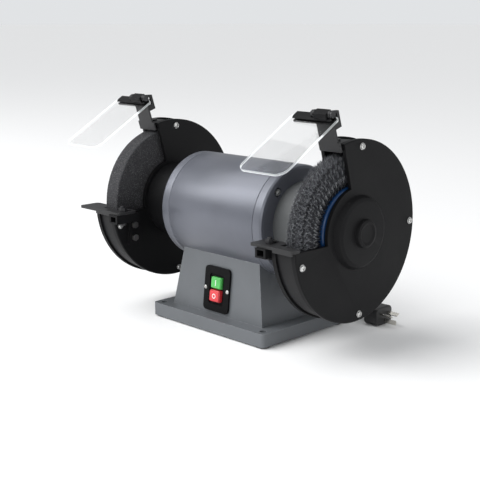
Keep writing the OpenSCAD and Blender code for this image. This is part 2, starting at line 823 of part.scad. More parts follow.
// Inner and outer clamping flanges of one wheel, drawn on the right side
module wheel_flanges() {
    relief_r = clamp_r - 8;
    relief_t = 1.2;
    at_spindle() {
        difference() {
            bar_x(clamp_r, shoulder_x, shoulder_x + clamp_t);
            bar_x(wheel_seat_r, shoulder_x - 1, shoulder_x + clamp_t + 1);
            bar_x(relief_r, shoulder_x + clamp_t - relief_t, shoulder_x + clamp_t + 1);
        }
        difference() {
            bar_x(clamp_r, nut_x - clamp_t, nut_x);
            bar_x(wheel_seat_r, nut_x - clamp_t - 1, nut_x + 1);
            bar_x(relief_r, nut_x - clamp_t - 1, nut_x - clamp_t + relief_t);
        }
    }
}

module left_wheel_flanges() {
    color("#8f9193") on_side(-1) wheel_flanges();
}

module right_wheel_flanges() {
    color("#8f9193") wheel_flanges();
}

module spindle_nuts() {
    color("#a3a5a7") at_spindle() for (side = [-1, 1]) on_side(side) difference() {
        bar_x(nut_r, nut_x, nut_x + nut_t, 6);
        bar_x(wheel_seat_r, nut_x - 1, nut_x + nut_t + 1);
    }
}

// Neck that carries one guard, drawn on the right side
module guard_neck() {
    at_spindle() difference() {
        bar_x(neck_r, motor_half, plate_in_x);
        bar_x(neck_r - neck_t, motor_half + neck_flange, plate_in_x - neck_flange);
        bar_x(hub_r + 3, motor_half - 1, motor_half + neck_flange + 1);
        bar_x(neck_hole_r, plate_in_x - neck_flange - 1, plate_in_x + 1);
        for (a = [0 : 90 : 270]) at_angle(a, neck_pcr)
            bar_x(screw_r + 0.2, motor_half - 1, motor_half + neck_flange + 1, 32);
        for (a = [45 : 90 : 315]) at_angle(a, neck_pcr)
            bar_x(screw_r, plate_in_x - neck_flange - 1, plate_in_x + 1, 32);
    }
}

module left_guard_neck() {
    color("#18181a") on_side(-1) guard_neck();
}

module right_guard_neck() {
    color("#767a80") guard_neck();
}

// Outline of the mouth, in Y and Z from the spindle centre, grown on its three sides by extra
module mouth_outline(extra = 0) {
    far = 2 * guard_r;
    corner = [extra * sin(mouth_angle), extra * cos(mouth_angle)];
    difference() {
        polygon([
            [corner[0], mouth_floor - extra], [-far, mouth_floor - extra], [-far, far],
            [corner[0] - far * cos(mouth_angle), corner[1] + far * sin(mouth_angle)], corner
        ]);
        circle(cheek_r - extra, $fn = 96);
    }
}

// Block round the mouth, from x0 to x1, that becomes its turned edge once the mouth is cut
module mouth_lip(x0, x1) {
    along_x(x0, x1) intersection() {
        circle(hoop_r - 0.5, $fn = 180);
        mouth_outline(lip_t);
    }
}

// Guard plate on the motor side, drawn on the right side
module guard_back() {
    face = plate_in_x + sheet_t;
    at_spindle() difference() {
        union() {
            rotate([0, 90, 0]) rotate_extrude($fn = 180)
                polygon([
                    [neck_hole_r, plate_in_x], [guard_r - 1.2, plate_in_x], [guard_r, plate_in_x + 1.2],
                    [guard_r, plate_in_x + skirt], [skirt_in_r, plate_in_x + skirt],
                    [skirt_in_r, face], [neck_hole_r, face]
                ]);
            mouth_lip(face - 0.5, face + lip_d);
        }
        along_x(plate_in_x - 1, plate_in_x + skirt + 1) mouth_outline();
        for (a = screw_angles) at_angle(a, lug_pcr)
            bar_x(screw_r + 0.2, plate_in_x - 1, face + 1, 32);
        for (a = [45 : 90 : 315]) at_angle(a, neck_pcr)
            bar_x(screw_r + 0.2, plate_in_x - 1, face + 1, 32);
        for (z = bracket_bolt_z) translate([0, bracket_bolt_y, z])
            bar_x(bracket_bolt_r + 0.2, plate_in_x - 1, face + 1, 32);
    }
}

module left_guard_back() {
    color("#1b1b1d") on_side(-1) guard_back();
}

module right_guard_back() {
    color("#1b1b1d") guard_back();
}

// Hoop between the guard plates, drawn on the right side
module guard_hoop() {
    in_x = plate_in_x + sheet_t;
    out_x = plate_out_x - sheet_t;
    at_spindle() difference() {
        union() {
            ring_x(hoop_r + sheet_t, hoop_r, in_x, out_x, 180);
            for (a = screw_angles, x = [in_x, out_x - lug_t]) at_angle(a, lug_pcr)
                facing_out(a) translate([x, -lug_w / 2, -3.6]) cube([lug_t, lug_w, 8.2]);
        }
        along_x(in_x - 1, out_x + 1) mouth_outline();
        for (a = screw_angles) at_angle(a, lug_pcr) bar_x(screw_r, in_x - 1, out_x + 1, 32);
        at_angle(strap_screw_angle, hoop_r - 2) facing_out(strap_screw_angle)
            translate([wheel_x, 0, 0]) cylinder(r = screw_r + 0.2, h = 8, $fn = 32);
    }
}

module left_guard_hoop() {
    color("#323234") on_side(-1) guard_hoop();
}

module right_guard_hoop() {
    color("#323234") guard_hoop();
}

// Outer guard cover with its hub dome, drawn on the right side
module guard_cover() {
    face = plate_out_x;
    back = plate_out_x - sheet_t;
    dome = face + dome_d;
    tip = dome + boss_d;
    at_spindle() difference() {
        union() {
            rotate([0, 90, 0]) rotate_extrude($fn = 180)
                polygon([
                    [0, tip - 1.5], [boss_r - 7, tip - 1.5], [boss_r - 4, tip], [boss_r - 1, tip - 1],
                    [boss_r, dome], [dome_r - 7, dome], [dome_r - 3, dome - 2.5], [dome_r, face],
                    [guard_r - 1.2, face], [guard_r, face - 1.2], [guard_r, face - skirt],
                    [skirt_in_r, face - skirt], [skirt_in_r, back], [dome_r - 1.3, back],
                    [dome_r - 4.3, dome - sheet_t - 2.2], [dome_r - 7.8, dome - sheet_t],
                    [boss_r - 2, dome - sheet_t], [boss_r - 3, tip - sheet_t - 1.5], [0, tip - sheet_t - 1.5]
                ]);
            mouth_lip(back - lip_d, back + 0.5);
        }
        along_x(face - skirt - 1, face + 1) mouth_outline();
        for (a = screw_angles) at_angle(a, lug_pcr)
            bar_x(screw_r + 0.2, back - 1, face + 1, 32);
    }
}

module left_guard_cover() {
    color("#232325") on_side(-1) guard_cover();
}

module right_guard_cover() {
    color("#232325") guard_cover();
}

module guard_screws() {
    color("#c6c8ca") at_spindle() for (side = [-1, 1], a = screw_angles) on_side(side) at_angle(a, lug_pcr) {
        translate([plate_out_x, 0, 0]) rotate([0, 90, 0])
            pan_screw(screw_r - 0.05, sheet_t + lug_t + 1, screw_head_r, screw_head_t);
        translate([plate_in_x, 0, 0]) rotate([0, -90, 0])
            pan_screw(screw_r - 0.05, sheet_t + lug_t + 1, screw_head_r, screw_head_t);
    }
}

module neck_screws() {
    color("#9ea0a2") at_spindle() for (side = [-1, 1]) on_side(side) {
        for (a = [0 : 90 : 270]) at_angle(a, neck_pcr)
            translate([motor_half + neck_flange, 0, 0]) rotate([0, 90, 0])
                pan_screw(screw_r - 0.05, neck_flange + bell_face_t, 3.2, 2.4);
        for (a = [45 : 90 : 315]) at_angle(a, neck_pcr)
            translate([plate_in_x + sheet_t, 0, 0]) rotate([0, 90, 0])
                pan_screw(screw_r - 0.05, sheet_t + neck_flange, 3.2, 2);
    }
}

// Bracket on the motor side of a guard: bolted leg and square tube, drawn on the right side
module rest_bracket() {
    at_spindle() difference() {
        union() {
            translate([arm_in_x, arm_front_y, arm_top - arm_h]) cube([arm_w, arm_len, arm_h]);
            along_x(plate_in_x - leg_t, plate_in_x)
                translate([bracket_bolt_y - leg_w / 2, bracket_bolt_z[1] - 9])
                square([leg_w, arm_top - bracket_bolt_z[1] + 9]);
        }
        translate([arm_in_x + 3.3, arm_front_y - 1, arm_top - arm_h + 2.3])
            cube([arm_w - 6.6, arm_len + 2, arm_h - 4.6]);
        translate([arm_mid_x, clamp_y, arm_top - arm_h - 1])
            cylinder(r = clamp_bolt_r + 0.2, h = arm_h + 2, $fn = 32);
        for (z = bracket_bolt_z) translate([0, bracket_bolt_y, z])
            bar_x(bracket_bolt_r + 0.2, plate_in_x - leg_t - 1, plate_in_x + 1, 32);
    }
}

module left_rest_bracket() {
    color("#303032") on_side(-1) rest_bracket();
}

module right_rest_bracket() {
    color("#303032") rest_bracket();
}

// Flat rectangle between two corners with rounded corners
module corner_rect(x0, y0, x1, y1, r) {
    translate([(x0 + x1) / 2, (y0 + y1) / 2]) round_rect(x1 - x0, y1 - y0, r);
}

// Tool rest whose outer ear starts at x0; reach is how far it extends to cover the arm
module tool_rest(x0, arm_x, reach) {
    x_step = x0 + rest_ear_w;
    x_end = x_step + rest_front_w;
    slot_y0 = clamp_y - rest_in - body_gap;
    slot_y1 = clamp_y + rest_out + body_gap;
    at_spindle() difference() {
        union() {
            translate([0, 0, rest_bottom]) linear_extrude(rest_t) {
                corner_rect(x0, rest_front_y, x_step, rest_rear_y, rest_corner);
                corner_rect(x0, rest_front_y, x_end + reach, rest_front_y + rest_front_d, 4);
                if (reach > 0)
                    corner_rect(x_end, rest_front_y, x_end + reach, rest_rear_y, 4);
            }
            translate([x_step + 0.5, rest_front_y, rest_bottom - 2.9])
                cube([rest_front_w - 3, 2.5, 2.9 + eps]);
        }
        translate([arm_x, 0, rest_bottom - 1]) linear_extrude(rest_t + 2) {
            translate([0, slot_y0]) circle(clamp_bolt_r + 0.3, $fn = 32);
            translate([0, slot_y1]) circle(clamp_bolt_r + 0.3, $fn = 32);
            translate([-clamp_bolt_r - 0.3, slot_y0])
                square([2 * clamp_bolt_r + 0.6, slot_y1 - slot_y0]);
        }
    }
}

module left_tool_rest() {
    x0 = -wheel_x + rest_shift;
    color("#3c3c3e") tool_rest(x0, -arm_mid_x, -arm_in_x - x0 - rest_ear_w - rest_front_w);
}

module right_tool_rest() {
    color("#3c3c3e") tool_rest(wheel_x + rest_shift, arm_mid_x, 0);
}

module rest_bracket_bolts() {
    color("#b8babc") at_spindle() for (side = [-1, 1], z = bracket_bolt_z)
        on_side(side) translate([0, bracket_bolt_y, z]) {
            bar_x(bracket_bolt_r, plate_in_x - leg_t - 2, plate_in_x + sheet_t + bracket_nut_t, 32);
            bar_x(hex_r - 0.5, plate_in_x - leg_t - bracket_head_t, plate_in_x - leg_t, 6);
            bar_x(hex_r - 0.5, plate_in_x + sheet_t, plate_in_x + sheet_t + bracket_nut_t, 6);
        }
}

module rest_clamp_bolts() {
    low = arm_top - arm_h;
    top = rest_top + body_gap;
    color("#2c2c2e") at_spindle() for (side = [-1, 1]) translate([side * arm_mid_x, clamp_y, 0]) {
        translate([0, 0, low - 3]) cylinder(r = clamp_bolt_r, h = top - low + clamp_nut_t + 5.4, $fn = 32);
        translate([0, 0, low - clamp_head_t]) cylinder(r = hex_r - 0.5, h = clamp_head_t, $fn = 6);
        translate([0, 0, top]) cylinder(r = hex_r, h = clamp_nut_t, $fn = 6);
    }
}

// Side view of one ear of the strap: it reaches round behind the clamp bar and back to the pin
module ear_outline() {
    translate([0, pivot_r - 20]) square([ear_back, 7.8]);
    translate([ear_back - 4, pivot_r - 20]) square([4, 20]);
    polygon([
        [-1, pivot_r - 1], [ear_back, pivot_r - 1], [ear_back, pivot_r + 0.4],
        [1.5, pivot_r + ear_r - 0.3], [-1, pivot_r + ear_r - 0.3]
    ]);
    translate([0, pivot_r]) circle(ear_r, $fn = 48);
}

// Strap with its spark guard, its curved foot on the hoop and its two ears, drawn at x = 0
module shield_bracket() {
    low = wheel_r + 4.5;
    difference() {
        union() {
            facing_out(strap_angle) {
                translate([-strap_w / 2, 0, low]) cube([strap_w, strap_t, pivot_r - 12 - low]);
                translate([-spark_w / 2, 0, low]) cube([spark_w, strap_t, 12]);
                for (i = [-1, 1]) translate([i * (strap_w - ear_t) / 2, 0, 0])
                    along_x(-ear_t / 2, ear_t / 2) ear_outline();
            }
            rotate([90 - strap_angle, 0, 0]) rotate([0, -90, 0])
                rotate_extrude(angle = foot_arc, $fn = 180)
                translate([hoop_r + sheet_t + 0.1, -foot_w / 2]) square([foot_t, foot_w]);
        }
        facing_out(strap_angle) translate([0, 0, pivot_r]) bar_x(pin_r + pin_fit, -strap_w, strap_w, 48);
        at_angle(strap_screw_angle, hoop_r) facing_out(strap_screw_angle)
            cylinder(r = screw_r + 0.2, h = 8, $fn = 32);
    }
}

module left_shield_bracket() {
    color("#2e2e30") at_spindle() translate([-wheel_x, 0, 0]) shield_bracket();
}

module right_shield_bracket() {
    color("#2e2e30") at_spindle() translate([wheel_x, 0, 0]) shield_bracket();
}

// Moves its children to the shield pivot, -Y running down the slope of the pane
module at_pivot(side) {
    at_spindle() at_angle(strap_angle, pivot_r)
        translate([side * wheel_x, 0, 0]) rotate([pane_slope, 0, 0]) children();
}

// Bar that grips the pane and hinges on the pin, drawn at the pivot
module shield_clamp() {
    knuckle = ear_span / 2 - body_gap;
    difference() {
        union() {
            along_x(pane_shift - bar_w / 2, pane_shift + bar_w / 2)
                polygon([
                    [-bar_front, -bar_low], [bar_rear, -bar_low], [bar_rear, -bar_high],
                    [-bar_front + 2, -bar_high], [-bar_front, -bar_high - 2]
                ]);
            along_x(-knuckle, knuckle) translate([-bar_front, -bar_high - 0.5])
                square([bar_front + knuckle_r, bar_high + 0.5 + knuckle_r]);
        }
        bar_x(pin_r + pin_fit, -strap_w, strap_w, 48);
        translate([pane_shift - bar_w, -bar_front - 1, -pane_drop - pane_t / 2])
            cube([2 * bar_w, bar_front + bar_rear - 1, pane_t]);
        // Room for the ears of the strap and the ends of the pin
        for (side = [-1, 1]) on_side(side) along_x(knuckle, strap_w / 2 + pin_head_t + 0.5)
            translate([-ear_r - 0.4, -ear_r - 0.3]) square([bar_front + bar_rear, 12]);
    }
}

module left_shield_clamp() {
    color("#333335") at_pivot(-1) shield_clamp();
}

module right_shield_clamp() {
    color("#333335") at_pivot(1) shield_clamp();
}

module shield_pane() {
    side = pane_w / 2;
    front = pane_rear - pane_l;
    translate([pane_shift, 0, -pane_drop - pane_t / 2]) linear_extrude(pane_t) {
        corner_rect(-side, front, side, pane_rear - 5, pane_r);
        corner_rect(-side, pane_rear - 3 * pane_r, side, pane_rear, pane_rear_r);
    }
}

module left_shield_pane() {
    color("#dfe6ea", 0.4) at_pivot(-1) shield_pane();
}

module right_shield_pane() {
    color("#dfe6ea", 0.4) at_pivot(1) shield_pane();
}

module shield_fasteners() {
    out = strap_w / 2;
    color("#8f9193") at_spindle() for (side = [-1, 1]) translate([side * wheel_x, 0, 0]) {
        at_angle(strap_angle, pivot_r) {
            bar_x(pin_r, -out - 1, out + 1, 48);
            bar_x(pin_head_r, out, out + pin_head_t - 0.5, 48);
            bar_x(pin_head_r, -out - pin_head_t, -out, 6);
        }
        at_angle(strap_screw_angle, hoop_r + sheet_t + 0.1 + foot_t) facing_out(strap_screw_angle) {
            translate([0, 0, -7]) cylinder(r = screw_r - 0.05, h = 8, $fn = 32);
            cylinder(r = 3.8, h = 2.4, $fn = 32);
            translate([0, 0, -sheet_t - 2 * foot_t - 0.2]) cylinder(r = 3.6, h = foot_t, $fn = 6);
        }
    }
}

base_casting();
base_cover();
base_cover_screws();
rubber_feet();
capacitor();
capacitor_clamp();
terminal_block();
switch_plate();
switch_plate_screws();
switch_body();
green_button();
red_button();
cord_gland();
cord_lead();
cord_coil();
cord_tie();
cord_tail();
plug_body();
plug_pins();
motor_housing();
left_end_bell();
right_end_bell();
tie_bolts();
motor_studs();
stator_core();
stator_windings();
rotor_core();
spindle();
bearing_outer_rings();
bearing_inner_rings();
grinding_wheel();
wheel_blotters();
wire_bristles();
brush_rings();
left_wheel_flanges();
right_wheel_flanges();
spindle_nuts();
left_guard_neck();
right_guard_neck();
left_guard_back();
right_guard_back();
left_guard_hoop();
right_guard_hoop();
left_guard_cover();
right_guard_cover();
guard_screws();
neck_screws();
left_rest_bracket();
right_rest_bracket();
left_tool_rest();
right_tool_rest();
rest_bracket_bolts();
rest_clamp_bolts();
left_shield_bracket();
right_shield_bracket();
left_shield_clamp();
right_shield_clamp();
left_shield_pane();
right_shield_pane();
shield_fasteners();
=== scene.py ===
import json
import math
import random

import bmesh
import bpy
from mathutils import Matrix, Vector


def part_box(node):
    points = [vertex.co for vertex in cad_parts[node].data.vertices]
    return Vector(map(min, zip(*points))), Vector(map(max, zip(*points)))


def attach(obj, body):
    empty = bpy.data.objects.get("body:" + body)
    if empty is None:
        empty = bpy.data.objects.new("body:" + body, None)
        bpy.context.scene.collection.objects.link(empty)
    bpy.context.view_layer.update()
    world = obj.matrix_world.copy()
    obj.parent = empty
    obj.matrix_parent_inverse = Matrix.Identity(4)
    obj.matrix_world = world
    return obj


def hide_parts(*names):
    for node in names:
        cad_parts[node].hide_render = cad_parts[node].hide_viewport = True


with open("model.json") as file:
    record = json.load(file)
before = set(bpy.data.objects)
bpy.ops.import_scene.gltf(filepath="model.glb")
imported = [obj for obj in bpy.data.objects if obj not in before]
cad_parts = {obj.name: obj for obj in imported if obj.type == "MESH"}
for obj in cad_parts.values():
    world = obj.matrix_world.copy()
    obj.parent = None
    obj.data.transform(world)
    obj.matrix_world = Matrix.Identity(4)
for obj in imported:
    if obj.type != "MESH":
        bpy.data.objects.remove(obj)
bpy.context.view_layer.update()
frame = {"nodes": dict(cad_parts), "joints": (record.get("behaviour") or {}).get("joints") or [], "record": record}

joints = {joint["name"]: joint for joint in frame["joints"]}
axisZ = joints["spindle_spin"]["pos_m"][2]
print("frame loaded, spindle at", axisZ)

# camera, floor and lights

camera = {"place": (0.9231, -0.9283, 0.404), "pitch": 77.41, "turn": 45.32, "lens": 74.34}
lights = {
    "sky": {"kind": "SUN", "place": (-1.1, -0.9, 2.4), "aim": (0, 0, 0.1), "power": 1.5, "soft": 45},
    "left": {"kind": "AREA", "place": (-1.7, -1.4, 1.35), "aim": (-1.7, 0, 0.15), "power": 37, "size": (3.0, 0.9)},
    "front": {"kind": "AREA", "place": (0.9, -1.9, 0.9), "aim": (0, 0, 0.12), "power": 8, "size": (1.4, 0.9)},
    "right": {"kind": "AREA", "place": (1.9, 0.5, 1.0), "aim": (0.1, 0, 0.15), "power": 8, "size": (1.0, 0.8)},
}
surround = {"colour": (0.96, 0.98, 1.0, 1), "strength": 0.42, "backdrop": 0.785, "floor": (0.96, 0.96, 0.96, 1)}


def makeCamera():
    data = bpy.data.cameras.new("camera")
    data.lens = camera["lens"]
    data.sensor_width = 36
    data.clip_start = 0.01
    rig = bpy.data.objects.new("camera", data)
    rig.location = camera["place"]
    rig.rotation_euler = (math.radians(camera["pitch"]), 0, math.radians(camera["turn"]))
    bpy.context.scene.collection.objects.link(rig)
    bpy.context.scene.camera = rig


def makeLights():
    for name, light in lights.items():
        data = bpy.data.lights.new(name, light["kind"])
        data.energy = light["power"]
        if light["kind"] == "SUN":
            data.angle = math.radians(light["soft"])
        else:
            data.shape = "RECTANGLE"
            data.size, data.size_y = light["size"]
        lamp = bpy.data.objects.new(name, data)
        lamp.location = light["place"]
        aim = Vector(light["aim"]) - Vector(light["place"])
        lamp.rotation_euler = aim.to_track_quat("-Z", "Y").to_euler()
        bpy.context.scene.collection.objects.link(lamp)


# soft even light all round, with a white backdrop where the camera sees past the floor
def makeSurround():
    world = bpy.data.worlds.new("studio")
    bpy.context.scene.world = world
    world.use_nodes = True
    tree = world.node_tree
    background = tree.nodes["Background"]
    background.inputs["Color"].default_value = surround["colour"]
    path = tree.nodes.new("ShaderNodeLightPath")
    seen = tree.nodes.new("ShaderNodeMath")
    seen.operation = "MAXIMUM"
    tree.links.new(path.outputs["Is Camera Ray"], seen.inputs[0])
    tree.links.new(path.outputs["Is Transmission Ray"], seen.inputs[1])
    strength = tree.nodes.new("ShaderNodeMapRange")
    strength.inputs["To Min"].default_value = surround["strength"]
    strength.inputs["To Max"].default_value = surround["backdrop"]
    tree.links.new(seen.outputs[0], strength.inputs["Value"])
    tree.links.new(strength.outputs["Result"], background.inputs["Strength"])
    bpy.context.scene.view_settings.view_transform = "Standard"


def makeFloor():
    bm = bmesh.new()
    bmesh.ops.create_grid(bm, x_segments=1, y_segments=1, size=60)
    mesh = bpy.data.meshes.new("floor")
    bm.to_mesh(mesh)
    bm.free()
    floor = bpy.data.objects.new("floor", mesh)
    bpy.context.scene.collection.objects.link(floor)
    paper = bpy.data.materials.new("floor")
    paper.use_nodes = True
    shader = paper.node_tree.nodes["Principled BSDF"]
    shader.inputs["Base Color"].default_value = surround["floor"]
    shader.inputs["Roughness"].default_value = 0.85
    mesh.materials.append(paper)


makeCamera()
makeLights()
makeSurround()
makeFloor()
print("camera, lights and floor made")

# shared effects for the materials


def newGroup(name, inputs, outputs):
    tree = bpy.data.node_groups.new(name, "ShaderNodeTree")
    for label, kind, value in inputs:
        entry = tree.interface.new_socket(name=label, in_out="INPUT", socket_type=kind)
        if value is not None:
            entry.default_value = value
    for label, kind in outputs:
        tree.interface.new_socket(name=label, in_out="OUTPUT", socket_type=kind)
    start = tree.nodes.new("NodeGroupInput")
    end = tree.nodes.new("NodeGroupOutput")
    return tree, start, end


def addNode(tree, kind, settings=None, values=None):
    node = tree.nodes.new(kind)
    for key, value in (settings or {}).items():
        setattr(node, key, value)
    for key, value in (values or {}).items():
        node.inputs[key].default_value = value
    return node


def addMath(tree, operation, first, second=None, clamp=False):
    node = addNode(tree, "ShaderNodeMath", {"operation": operation, "use_clamp": clamp})
    for slot, value in enumerate((first, second)):
        if value is None:
            continue
        if isinstance(value, (int, float)):
            node.inputs[slot].default_value = value
        else:
            tree.links.new(value, node.inputs[slot])
    return node.outputs[0]


# noise that varies a colour slowly and breaks it up finely
def makeMottleGroup():
    tree, start, end = newGroup(
        "mottle",
        [("Scale", "NodeSocketFloat", 40.0), ("Fine", "NodeSocketFloat", 900.0)],
        [("Slow", "NodeSocketFloat"), ("Fast", "NodeSocketFloat")])
    place = addNode(tree, "ShaderNodeTexCoord")
    slow = addNode(tree, "ShaderNodeTexNoise", values={"Detail": 3.0, "Roughness": 0.55})
    fast = addNode(tree, "ShaderNodeTexNoise", values={"Detail": 2.0, "Roughness": 0.6})
    for noise, label in ((slow, "Scale"), (fast, "Fine")):
        tree.links.new(place.outputs["Object"], noise.inputs["Vector"])
        tree.links.new(start.outputs[label], noise.inputs["Scale"])
    tree.links.new(slow.outputs["Fac"], end.inputs["Slow"])
    tree.links.new(fast.outputs["Fac"], end.inputs["Fast"])
    return tree


# mask of the corners where paint rubs thin
def makeWearGroup():
    tree, start, end = newGroup(
        "edgeWear",
        [("Radius", "NodeSocketFloat", 0.0008), ("Amount", "NodeSocketFloat", 1.0),
         ("Scale", "NodeSocketFloat", 220.0)],
        [("Mask", "NodeSocketFloat")])
    place = addNode(tree, "ShaderNodeTexCoord")
    bevel = addNode(tree, "ShaderNodeBevel", {"samples": 6})
    tree.links.new(start.outputs["Radius"], bevel.inputs["Radius"])
    surface = addNode(tree, "ShaderNodeNewGeometry")
    align = addNode(tree, "ShaderNodeVectorMath", {"operation": "DOT_PRODUCT"})
    tree.links.new(bevel.outputs["Normal"], align.inputs[0])
    tree.links.new(surface.outputs["Normal"], align.inputs[1])
    edge = addMath(tree, "SUBTRACT", 1.0, align.outputs["Value"], True)
    edge = addMath(tree, "MULTIPLY", edge, 5.0, True)
    noise = addNode(tree, "ShaderNodeTexNoise", values={"Detail": 4.0, "Roughness": 0.7})
    tree.links.new(place.outputs["Object"], noise.inputs["Vector"])
    tree.links.new(start.outputs["Scale"], noise.inputs["Scale"])
    chips = addNode(tree, "ShaderNodeMapRange", values={"From Min": 0.42, "From Max": 0.62})
    tree.links.new(noise.outputs["Fac"], chips.inputs["Value"])
    worn = addMath(tree, "MULTIPLY", edge, chips.outputs["Result"])
    worn = addMath(tree, "MULTIPLY", worn, start.outputs["Amount"], True)
    tree.links.new(worn, end.inputs["Mask"])
    return tree


mottleGroup = makeMottleGroup()
wearGroup = makeWearGroup()


def newMaterial(name, metallic=0.0, **plain):
    material = bpy.data.materials.new(name)
    material.use_nodes = True
    tree = material.node_tree
    shader = tree.nodes["Principled BSDF"]
    shader.inputs["Metallic"].default_value = metallic
    for key, value in plain.items():
        shader.inputs[key.replace("_", " ")].default_value = value
    return material, tree, shader


def addGroup(tree, group, values):
    node = addNode(tree, "ShaderNodeGroup", {"node_tree": group})
    for key, value in values.items():
        node.inputs[key].default_value = value
    return node


def mixColours(tree, mask, low, high):
    mix = addNode(tree, "ShaderNodeMix", {"data_type": "RGBA"})
    for slot, value in ((6, low), (7, high)):
        if isinstance(value, tuple):
            mix.inputs[slot].default_value = (*value, 1)
        else:
            tree.links.new(value, mix.inputs[slot])
    tree.links.new(mask, mix.inputs["Factor"])
    return mix.outputs[2]


def addBump(tree, shader, height, strength, distance):
    bump = addNode(tree, "ShaderNodeBump", values={"Strength": strength, "Distance": distance})
    tree.links.new(height, bump.inputs["Height"])
    tree.links.new(bump.outputs["Normal"], shader.inputs["Normal"])


def scaleRange(tree, value, low, high, start=0.3, end=0.7):
    node = addNode(tree, "ShaderNodeMapRange", values={
        "From Min": start, "From Max": end, "To Min": low, "To Max": high})
    tree.links.new(value, node.inputs["Value"])
    return node.outputs["Result"]


# painted or powder-coated metal: two close tones, orange peel and rubbed corners
def paintMaterial(name, look):
    material, tree, shader = newMaterial(name, look.get("metallic", 0.0), **look.get("plain", {}))
    mottle = addGroup(tree, mottleGroup, {"Scale": look["patch"], "Fine": look["peel"]})
    tone = scaleRange(tree, mottle.outputs["Slow"], 0, 1)
    colour = mixColours(tree, tone, look["dark"], look["light"])
    wear = addGroup(tree, wearGroup, {"Radius": look["edge"], "Amount": look["worn"]})
    colour = mixColours(tree, wear.outputs["Mask"], colour, look["bare"])
    tree.links.new(colour, shader.inputs["Base Color"])
    rough = scaleRange(tree, mottle.outputs["Slow"], look["rough"][0], look["rough"][1])
    tree.links.new(rough, shader.inputs["Roughness"])
    addBump(tree, shader, mottle.outputs["Fast"], look["relief"], 0.0002)
    return material


# bare metal: fine turned or brushed lines along one axis, dulled in patches
def metalMaterial(name, look):
    material, tree, shader = newMaterial(name, look.get("metallic", 1.0))
    place = addNode(tree, "ShaderNodeTexCoord")
    stretch = addNode(tree, "ShaderNodeMapping", values={"Scale": look["stretch"]})
    tree.links.new(place.outputs["Object"], stretch.inputs["Vector"])
    lines = addNode(tree, "ShaderNodeTexNoise", values={"Scale": 1.0, "Detail": 3.0})
    tree.links.new(stretch.outputs["Vector"], lines.inputs["Vector"])
    mottle = addGroup(tree, mottleGroup, {"Scale": 120.0, "Fine": 2500.0})
    tone = scaleRange(tree, mottle.outputs["Slow"], 0, 1)
    tree.links.new(mixColours(tree, tone, look["dark"], look["light"]), shader.inputs["Base Color"])
    rough = scaleRange(tree, lines.outputs["Fac"], look["rough"][0], look["rough"][1])
    tree.links.new(rough, shader.inputs["Roughness"])
    addBump(tree, shader, lines.outputs["Fac"], 0.12, 0.0001)
    return material


# moulded plastic or rubber: even colour, spark-eroded skin
def mouldedMaterial(name, look):
    material, tree, shader = newMaterial(name, 0.0, **look.get("plain", {}))
    mottle = addGroup(tree, mottleGroup, {"Scale": look.get("patch", 60.0), "Fine": look["skin"]})
    tone = scaleRange(tree, mottle.outputs["Slow"], 0, 1)
    tree.links.new(mixColours(tree, tone, look["dark"], look["light"]), shader.inputs["Base Color"])
    rough = scaleRange(tree, mottle.outputs["Fast"], look["rough"][0], look["rough"][1])
    tree.links.new(rough, shader.inputs["Roughness"])
    addBump(tree, shader, mottle.outputs["Fast"], look["relief"], 0.0001)
    return material


# bonded grit: packed dark grains, some pale or glinting, with open pores between them
def gritMaterial(name, look):
    material, tree, shader = newMaterial(name, 0.0, Specular_IOR_Level=0.25)
    place = addNode(tree, "ShaderNodeTexCoord")
    grains = addNode(tree, "ShaderNodeTexVoronoi", values={"Scale": look["grain"]})
    pores = addNode(tree, "ShaderNodeTexNoise", values={"Scale": look["pore"], "Detail": 4.0, "Roughness": 0.7})
    patches = addNode(tree, "ShaderNodeTexNoise", values={"Scale": look["patch"], "Detail": 2.0})
    for texture in (grains, pores, patches):
        tree.links.new(place.outputs["Object"], texture.inputs["Vector"])
    shade = addNode(tree, "ShaderNodeSeparateColor")
    tree.links.new(grains.outputs["Color"], shade.inputs["Color"])
    tone = scaleRange(tree, pores.outputs["Fac"], 0, 1, 0.35, 0.65)
    colour = mixColours(tree, tone, look["dark"], look["light"])
    pale = scaleRange(tree, shade.outputs["Red"], 0, 1, 0.86, 0.9)
    colour = mixColours(tree, pale, colour, look["fleck"])
    dusty = scaleRange(tree, patches.outputs["Fac"], 0, 0.35, 0.45, 0.7)
    colour = mixColours(tree, dusty, colour, look["dust"])
    tree.links.new(colour, shader.inputs["Base Color"])
    rough = scaleRange(tree, shade.outputs["Green"], look["rough"][0], look["rough"][1], 0.1, 0.6)
    tree.links.new(rough, shader.inputs["Roughness"])
    height = addMath(tree, "ADD", pores.outputs["Fac"], grains.outputs["Distance"])
    addBump(tree, shader, height, look["relief"], 0.0006)
    return material


# drawn steel wires, each painted from deep shade to bright glint by its own attribute; a part without the attribute
# takes the darkest, painted shade
def wireGlintShadeMaterial(name, look):
    material, tree, shader = newMaterial(name, look["metallic"])
    tint = addNode(tree, "ShaderNodeAttribute", {"attribute_name": "tint"})
    # painted light: the ramp runs from deep painted shade through mid grey to a near-white painted glint
    ramp = addNode(tree, "ShaderNodeValToRGB")
    stops = ramp.color_ramp.elements
    stops[0].position = look["stops"][0]
    stops[0].color = (*look["dark"], 1)
    stops[1].color = (*look["bright"], 1)
    middle = stops.new(look["stops"][1])
    middle.color = (*look["middle"], 1)
    tree.links.new(tint.outputs["Fac"], ramp.inputs["Fac"])
    mottle = addGroup(tree, mottleGroup, {"Scale": 400.0, "Fine": 3000.0})
    tone = scaleRange(tree, mottle.outputs["Slow"], 0, 0.5)
    tree.links.new(mixColours(tree, tone, ramp.outputs["Color"], look["dark"]), shader.inputs["Base Color"])
    rough = scaleRange(tree, mottle.outputs["Fast"], look["rough"][0], look["rough"][1])
    tree.links.new(rough, shader.inputs["Roughness"])
    return material
